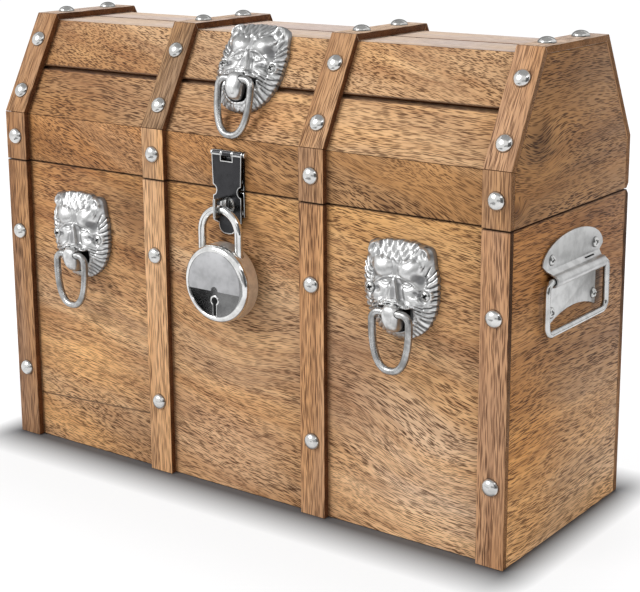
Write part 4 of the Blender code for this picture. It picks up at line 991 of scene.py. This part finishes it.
def tongue_mesh():
    """A broad tongue that folds over the ring's bar and hangs to the chin, bored for the bar."""
    build = bmesh.new()
    bmesh.ops.create_uvsphere(build, u_segments=56, v_segments=36, radius=1.0)
    layer = build.verts.layers.float.new("recess")
    for vert in build.verts:
        u, v, n = (math.copysign(abs(part) ** 0.72, part) for part in vert.co)
        # Painted shade: darker on the underside, towards the board, and along the right flank.
        vert[layer] = 0.30 + 0.6 * smooth(0.0, 0.8, -n) + 0.22 * ridge(u - 0.75, 0.25)
        fuller = 1.0 + 0.10 * v
        fold = 0.0009 * v - 0.0016 * smooth(0.1, 1.0, -v)
        streak = 0.00010 * math.cos(15 * u) * smooth(-0.2, 0.4, -v)
        vert.co = (0.0071 * u * fuller, 0.0098 * v, 0.0064 * n + fold + streak)
    lobe = mesh_of("tongue_lobe", build)
    across = Matrix.Translation(TONGUE_BAR)
    bore = wire_mesh("tongue_bore", [(-0.02, 0), (0.02, 0)], RING_WIRE + 0.0004, False, across, 7)
    return cut_away(lobe, bore)


def cut_away(mesh, tool):
    """The mesh less the tool, by one applied boolean."""
    holders = [bpy.data.objects.new(f"{part.name}_holder", part) for part in (mesh, tool)]
    for holder in holders:
        bpy.context.scene.collection.objects.link(holder)
    cut = holders[0].modifiers.new("bore", "BOOLEAN")
    cut.operation = "DIFFERENCE"
    cut.object = holders[1]
    shaped = bpy.data.meshes.new_from_object(holders[0].evaluated_get(bpy.context.evaluated_depsgraph_get()))
    for holder in holders:
        bpy.data.objects.remove(holder, do_unlink=True)
    return shaped


def ring_line():
    """The ring's middle line below its pivot: a straight bar, round corners and a full oval bow."""
    half, corner, fullness = RING_HALF_WIDTH, 0.006, 2.0 / 2.5
    right = [(half - corner, 0.0)] + arc((half - corner, -corner), corner, 90, 0, 10)[1:]
    bow = [math.pi * i / 48 for i in range(1, 48)]
    oval = [(math.copysign(half * abs(math.cos(a)) ** fullness, math.cos(a)),
             -corner - (RING_LENGTH - corner) * math.sin(a) ** fullness) for a in bow]
    return right + oval + [(-x, y) for x, y in reversed(right)]


def add_lions():
    mask = relief("lion_relief", 360, 110, lion_edge, lion_height, 12, lion_hollow)
    tongue = tongue_mesh()
    upright = Vector((0, 0, 1))
    lean = math.asin((STANDOFF / 1000 - RING_WIRE - 2 * SEAT) / RING_LENGTH)
    knockers = (("left", upright, "chest_body", 0.0), ("right", upright, "chest_body", 0.0),
                ("lid", SLOPE, "lid", lean))
    for label, up, body, ring_lean in knockers:
        pivot = facing(PIVOTS[f"{label}_ring_swing"], (1, 0, 0), up)
        seat = pivot @ Matrix.Translation((0, -MOUTH / 1000, SEAT - STANDOFF / 1000))
        lobe = pivot @ Matrix.Translation(-TONGUE_BAR)
        face, tip = f"{label}_lion_face", f"{label}_lion_tongue"
        link_piece(face, gather(face, [(mask, seat)]), [CAST], body,
                   [f"{label}_lion_mask"], crease=60)
        link_piece(tip, gather(tip, [(tongue, lobe)]), [CAST], body, crease=50)
        heads = [(seat @ Matrix.Translation(Vector((side * BOSS_X, BOSS_Y, BOSS_HEIGHT)) / 1000), turn, 1.05)
                 for side, turn in ((-1, 0.25), (1, 0.6))]
        add_screws(f"{label}_lion_screws", heads, body)
        ring = f"{label}_lion_ring"
        hung = wire_mesh(ring, ring_line(), RING_WIRE, True, pivot @ Matrix.Rotation(ring_lean, 4, "X"))
        link_piece(f"{label}_knocker_ring", hung, [RING_FINISH], f"{label}_ring", [ring])


# Sheet metal and the padlock
BRIGHT_BAND_WIDTH = 0.0006


def add_sheet(node, finish, edge_finish, body, width=0.00022):
    """A copy of a sheet solid with its edges rounded, and a bright band round the edge of its front face
    where an edge finish is given.
    """
    build = eased_copy(node, width)
    if edge_finish:
        front = [face for face in build.faces if face.normal.y < -0.5 and face.calc_area() > 4e-6]
        rim = bmesh.ops.inset_region(build, faces=front, thickness=BRIGHT_BAND_WIDTH, depth=0.0, use_even_offset=True)
        for face in rim["faces"]:
            face.material_index = 1
    finishes = [finish, edge_finish] if edge_finish else [finish]
    link_piece(f"{node}_sheet", mesh_of(f"{node}_sheet", build), finishes, body, [node])


def add_hasp():
    add_sheet("hasp_strap", GUNMETAL, BRIGHT_EDGE, "hasp", 0.0007)
    add_sheet("hasp_leaf", GUNMETAL, BRIGHT_EDGE, "lid", 0.0004)
    add_sheet("staple_plate", GUNMETAL, BRIGHT_EDGE, "chest_body", 0.0004)
    add_sheet("hasp_pin", BRIGHT_EDGE, None, "lid")
    add_sheet("hasp_eye", EYE_STEEL, BRIGHT_EDGE, "hasp", 0.0005)
    middle, front, size = -0.0015, 0.0018, 0.66
    for name, height, half_gap, turn, body in (("hasp_leaf_screws", 0.2385, 0.0095, 0.3, "lid"),
                                               ("staple_plate_screws", 0.2155, 0.0100, 0.6, "chest_body")):
        heads = [(facing_front(middle + x, height, front), turn, size) for x in (-half_gap, half_gap)]
        add_screws(name, heads, body)


LOCK_RADIUS = 0.029
LOCK_HALF_DEPTH = 0.0085
LOCK_BROW = 0.0044
LOCK_BACK_EDGE = 0.0022
LOCK_FACE = LOCK_HALF_DEPTH - 0.0007
LOCK_RIM = LOCK_RADIUS - LOCK_BROW - 0.0004
LOCK_DROP = 0.0541
SHACKLE_WIRE = 0.0030
SHACKLE_HALF_SPAN = 0.0169
SHACKLE_TOE = math.sqrt(LOCK_RADIUS ** 2 - SHACKLE_HALF_SPAN ** 2) - LOCK_DROP
KEY_DROP = 0.012
KEYHOLE_RADIUS = 0.0026
KEYWAY_HALF_WIDTH = 0.0014
KEYWAY_LENGTH = 0.0112


def add_padlock():
    axle = PIVOTS["padlock_swing"]
    hung = facing(axle, (1, 0, 0), (0, 0, 1))
    seat = facing(axle - Vector((0, 0, LOCK_DROP)), (1, 0, 0), (0, 0, 1))
    add_padlock_case(seat, hung)
    add_padlock_front(seat @ Matrix.Translation((0, 0, LOCK_FACE)))
    span = SHACKLE_HALF_SPAN
    line = [(-span, SHACKLE_TOE - 0.016)] + arc((0, -span), span, 180, 0, 40) + [(span, SHACKLE_TOE - 0.009)]
    bow = wire_mesh("padlock_bow", line, SHACKLE_WIRE, False, hung, 7)
    link_piece("padlock_bow", bow, [CHROME], "shackle", ["padlock_shackle"])


def add_padlock_case(seat, hung):
    """A turned drum with a broad rounded front edge, bored for the shackle's long and short legs."""
    front, back = LOCK_HALF_DEPTH - LOCK_BROW, LOCK_BACK_EDGE - LOCK_HALF_DEPTH
    profile = [(0, LOCK_FACE), (LOCK_RIM, LOCK_FACE), (LOCK_RIM + 0.0001, LOCK_HALF_DEPTH - 0.0002)]
    profile += [(r, z) for z, r in arc((front, LOCK_RADIUS - LOCK_BROW), LOCK_BROW, 0, 90, 14)]
    profile += [(r, z) for z, r in arc((back, LOCK_RADIUS - LOCK_BACK_EDGE), LOCK_BACK_EDGE, 90, 180, 8)]
    profile.append((0, -LOCK_HALF_DEPTH))
    build = turned(profile, 128)
    for item in build.faces:
        middle = item.calc_center_median()
        on_face = middle.z > 0 and middle.xy.length < LOCK_RIM - 0.0001
        item.material_index = 2 if back < middle.z < front else int(on_face)
    bmesh.ops.transform(build, matrix=seat, verts=build.verts)
    bores = []
    for leg, x, deep in (("long", -SHACKLE_HALF_SPAN, 0.0175), ("short", SHACKLE_HALF_SPAN, 0.0105)):
        line = [(x, SHACKLE_TOE - deep), (x, SHACKLE_TOE + 0.010)]
        bore = wire_mesh(f"shackle_bore_{leg}", line, SHACKLE_WIRE + 0.0004, False, hung, 7)
        bores.append((bore, Matrix()))
    case = cut_away(mesh_of("padlock_case", build), gather("shackle_bores", bores))
    finishes = [CHROME, LOCK_POLISH, LOCK_DRUM]
    link_piece("padlock_case", case, finishes, "padlock", ["padlock_body"], crease=30)


def add_padlock_front(on_face):
    """The bare plate, and the keyway with its collar; the keyway is a near-black sheet that paints the shade
    inside the keyhole.
    """
    chord, reach = -0.0050, LOCK_RIM - 0.0003
    start = math.degrees(math.asin(chord / reach))
    outline = arc((0, 0), reach, start, 180 - start, 64) + arc((0, chord), 0.0034, 180, 0, 14)
    add_flat("padlock_bare_plate", outline, 0.0005, 0.00015, on_face, LOCK_SATIN)

    key = on_face @ Matrix.Translation((0, -KEY_DROP, 0))
    collar = wire_mesh("padlock_keyhole_collar", arc((0, 0), 0.0033, -58, 238, 40), 0.0006, False, key)
    link_piece("padlock_keyhole_collar", collar, [CHROME], "padlock")
    slot = KEYWAY_HALF_WIDTH
    turn = math.degrees(math.asin(slot / KEYHOLE_RADIUS))
    hole = arc((0, 0), KEYHOLE_RADIUS, -90 + turn, 270 - turn, 32)
    hole += [(-slot, -KEYWAY_LENGTH), (slot, -KEYWAY_LENGTH)]
    lip = [(1.28 * u, 1.04 * v) for u, v in hole]
    add_flat("padlock_keyway_lip", lip, 0.00015, 0.00005, key, BRIGHT_EDGE)
    add_flat("padlock_keyway", hole, 0.00030, 0.00003, key, HOLE_SHADE)


def add_flat(name, outline, thick, ease, matrix, finish, body="padlock"):
    build = flat_sheet(outline, thick, ease)
    bmesh.ops.transform(build, matrix=matrix, verts=build.verts)
    link_piece(name, mesh_of(name, build), [finish], body)


# End handles and rear hinges
BAIL_WIRE = 0.0024


def bail_line():
    """The bail's middle line below its pivot: a rectangle with round corners."""
    half, drop, corner = 0.0436, 0.0359, 0.0065
    flat, low = half - corner, corner - drop
    right = arc((flat, -corner), corner, 90, 0, 10) + arc((flat, low), corner, 0, -90, 10)
    return right + [(-y, z) for y, z in reversed(right)]


def add_handles():
    for label, side in (("left", -1), ("right", 1)):
        add_sheet(f"{label}_handle_plate", ZINC, None, "chest_body", 0.0003)
        right, up = (0, side, 0), (0, 0, 1)
        axis = facing(PIVOTS[f"{label}_bail_swing"], right, up)
        bail = f"{label}_handle_bail"
        wire = wire_mesh(bail, bail_line(), BAIL_WIRE, True, axis)
        link_piece(f"{label}_bail_wire", wire, [BAIL_CHROME], f"{label}_bail", [bail])
        heads = [(facing((side * (HALF_WIDTH + 0.0018), y, z), right, up), turn, 1.12) for y, z, turn in
                 ((-0.032, 0.2025, 0.2), (0.032, 0.2025, 0.7), (-0.031, 0.166, 0.5), (0.031, 0.166, 0.1))]
        add_screws(f"{label}_handle_screws", heads, "chest_body")
        punch = facing((side * (HALF_WIDTH + 0.0033), 0.0205, 0.1949), right, (-0.781 * side, 0, 0.625))
        half, end = 0.0060, 0.0006
        outline = arc((half, 0), end, -90, 90, 6) + arc((-half, 0), end, 90, 270, 6)
        # The punched slot is a near-black sheet that paints the shade inside it.
        add_flat(f"{label}_handle_slot", outline, 0.0002, 0.00003, punch, HOLE_SHADE, "chest_body")


HINGE_X = 0.146
HINGE_HEIGHT = 0.2314
HINGE_SCREW_RISE = 0.0125
HINGE_SCREW_GAP = 0.014


def add_hinges():
    for label, side in (("left", -1), ("right", 1)):
        for part, body, way in (("body", "chest_body", -1), ("lid", "lid", 1)):
            add_sheet(f"{label}_hinge_{part}_leaf", HINGE_STEEL, None, body)
            heads = []
            for x in (-HINGE_SCREW_GAP, 0.0, HINGE_SCREW_GAP):
                place = (side * HINGE_X + x, BOARD_FACE + 0.0016, HINGE_HEIGHT + way * HINGE_SCREW_RISE)
                heads.append((facing(place, (-1, 0, 0), (0, 0, 1)), 0.4 + 20 * x, 0.75))
            add_screws(f"{label}_hinge_{part}_screws", heads, body)


# Stage, light and camera
def seen_directly(tree):
    """1 for rays from the camera, a reflection or glass, else 0."""
    path = put(tree, "LightPath").outputs
    some = sums(tree, "MAXIMUM", path["Is Camera Ray"], path["Is Glossy Ray"])
    return sums(tree, "MAXIMUM", some, path["Is Transmission Ray"])


def add_plane(name, width, height, matrix, material):
    build = bmesh.new()
    bmesh.ops.create_grid(build, x_segments=1, y_segments=1, size=0.5)
    bmesh.ops.scale(build, vec=(width, height, 1), verts=build.verts)
    bmesh.ops.transform(build, matrix=matrix, verts=build.verts)
    mesh = mesh_of(name, build)
    mesh.materials.append(material)
    plane = bpy.data.objects.new(name, mesh)
    bpy.context.scene.collection.objects.link(plane)
    return plane


def add_floor():
    """A pale floor that glows white where it is seen; close to the chest the glow is held back, a painted
    shadow that deepens the real one.
    """
    material, tree, shader = new_material("pale_floor")
    where = put(tree, "TexCoord").outputs["Object"]
    either = put(tree, "VectorMath", {"operation": "ABSOLUTE"}, Vector=where).outputs[0]
    beyond = vector_sums(tree, "SUBTRACT", either, (HALF_WIDTH, HALF_DEPTH, 1.0))
    beyond = vector_sums(tree, "MULTIPLY", beyond, (1.6, 1.0, 1.0))
    away = length_of(tree, vector_sums(tree, "MAXIMUM", beyond, (0, 0, 0)))
    # Painted shadow: the glow rises from none at the chest's foot to full about 44 mm out.
    near = put(tree, "MapRange", Value=away, From_Min=0.001, From_Max=0.044, To_Max=0.84).outputs[0]
    far = sums(tree, "ADD", near, ramp(tree, away, 0.05, 0.30, 0.0, 0.12))
    direct = seen_directly(tree)
    # Seen directly the floor is dark grey, so the painted shadow stays dark; bounced light sees a pale floor.
    base = blend_colours(tree, direct, (0.72, 0.72, 0.72, 1), (0.16, 0.16, 0.165, 1))
    feed_all(tree, shader.inputs, Base_Color=base, Roughness=0.9, Specular_IOR_Level=0.0)
    glow = put(tree, "Emission", Color=(1, 1, 1, 1), Strength=sums(tree, "MULTIPLY", far, direct))
    both = put(tree, "AddShader")
    tree.links.new(shader.outputs[0], both.inputs[0])
    tree.links.new(glow.outputs[0], both.inputs[1])
    tree.links.new(both.outputs[0], tree.nodes["Material Output"].inputs["Surface"])
    add_plane("floor", 16, 16, Matrix.Translation((0, 0, -0.0004)), material)


def add_card(name, place, aim, width, height, shade, spin=0.0):
    """A studio card that only the metal's reflections see."""
    material, tree, shader = new_material(name)
    feed_all(tree, shader.inputs, Base_Color=(0, 0, 0, 1), Specular_IOR_Level=0.0,
             Emission_Color=(shade, shade, shade, 1), Emission_Strength=1.0)
    turn = (Vector(place) - Vector(aim)).to_track_quat("Z", "Y").to_matrix().to_4x4()
    turn = turn @ Matrix.Rotation(spin, 4, "Z")
    card = add_plane(name, width, height, Matrix.Translation(place) @ turn, material)
    card.visible_camera = card.visible_diffuse = card.visible_shadow = False


def add_world(ambient):
    world = bpy.data.worlds.new("pale_studio")
    bpy.context.scene.world = world
    world.use_nodes = True
    tree = world.node_tree
    back = tree.nodes["Background"]
    back.inputs["Color"].default_value = (1, 1, 1, 1)
    tree.links.new(ramp(tree, seen_directly(tree), 0.0, 1.0, ambient, 1.0), back.inputs["Strength"])


def add_lamp(name, place, aim, size, power, mirrored=True):
    light = bpy.data.lights.new(name, "AREA")
    light.shape = "DISK"
    light.size = size
    light.energy = power
    lamp = bpy.data.objects.new(name, light)
    lamp.location = place
    lamp.rotation_euler = (Vector(aim) - Vector(place)).to_track_quat("-Z", "Y").to_euler()
    lamp.visible_glossy = mirrored
    bpy.context.scene.collection.objects.link(lamp)


CAMERA_PLACE = Vector((0.6900, -0.9152, 0.4532))
CAMERA_TURNS = (36.67, -13.12, -0.42)
PHOTO_WIDTH = 640
FOCAL_PIXELS = 1531.2
SHIFT_PIXELS = (10, -66)
SENSOR_WIDTH = 36.0


def add_camera():
    yaw, pitch, roll = (math.radians(turn) for turn in CAMERA_TURNS)
    ahead = Vector((-math.sin(yaw) * math.cos(pitch), math.cos(yaw) * math.cos(pitch), math.sin(pitch)))
    right = Vector((math.cos(yaw), math.sin(yaw), 0))
    up = right.cross(ahead)
    across = right * math.cos(roll) + up * math.sin(roll)
    upward = up * math.cos(roll) - right * math.sin(roll)
    lens = bpy.data.cameras.new("photo_view")
    lens.sensor_width = SENSOR_WIDTH
    lens.lens = FOCAL_PIXELS * SENSOR_WIDTH / PHOTO_WIDTH
    lens.shift_x, lens.shift_y = (shift / PHOTO_WIDTH for shift in SHIFT_PIXELS)
    camera = bpy.data.objects.new("photo_view", lens)
    turn = Matrix((across, upward, -ahead)).transposed().to_4x4()
    camera.matrix_world = Matrix.Translation(CAMERA_PLACE) @ turn
    bpy.context.scene.collection.objects.link(camera)
    bpy.context.scene.camera = camera


# Board edges and strip sides in a dark tone that is partly painted shade; the corner strips' open sides take
# the paler corner tone.
EDGE_TIMBER_SHADED = timber("sawn_edges_shaded", ALONG_X, (5.5, 0.2, 0.9), SAWN_EDGE_SHADED, EDGE_FIGURE, sheen=EDGE_SHEEN)
add_boards(EDGE_TIMBER_SHADED)
CORNER_TIMBER = timber("corner_edges", ALONG_X, (6.5, 0.4, 0.1), CORNER_EDGE, EDGE_FIGURE, paint=paint_corner,
                       sheen=EDGE_SHEEN)
add_strips(EDGE_TIMBER_SHADED, CORNER_TIMBER)
add_nails()
add_lions()
add_hasp()
add_padlock()
add_handles()
add_hinges()

MIDDLE = Vector((0.0, 0.0, 0.17))
add_floor()
add_world(0.42)
add_lamp("key", (-1.00, -1.70, 1.50), MIDDLE, 1.2, 26)
add_lamp("fill", (1.60, -0.60, 1.00), MIDDLE, 1.2, 6)
add_lamp("top", (-0.3, 0.9, 1.7), MIDDLE, 1.2, 24, mirrored=False)
add_card("card_behind_camera", (1.57, -2.07, 0.42), (0.0, 0.0, 0.42), 3.0, 0.8, 0.40)
add_card("card_right", (1.10, -0.42, 0.42), (0.0, 0.0, 0.30), 1.0, 1.0, 0.10)
add_card("card_back", (-1.30, 1.75, 1.10), (0.0, 0.0, 0.20), 4.0, 2.3, 0.32)
add_card("card_ceiling", (0.0, 0.0, 2.40), (0.0, 0.0, 0.0), 3.4, 3.4, 0.45)
add_card("card_front", (-0.15, -0.85, 0.002), (-0.15, -0.85, -1.0), 0.50, 0.80, 0.38)
add_card("card_lock", (-0.395, -0.474, 0.004), (-0.395, -0.474, -1.0), 0.12, 0.17, 0.0, math.radians(-39.9))
add_card("card_right_back", (1.00, 1.00, 0.002), (1.00, 1.00, -1.0), 1.2, 1.2, 0.55)
add_camera()
bpy.context.scene.view_settings.view_transform = "Standard"
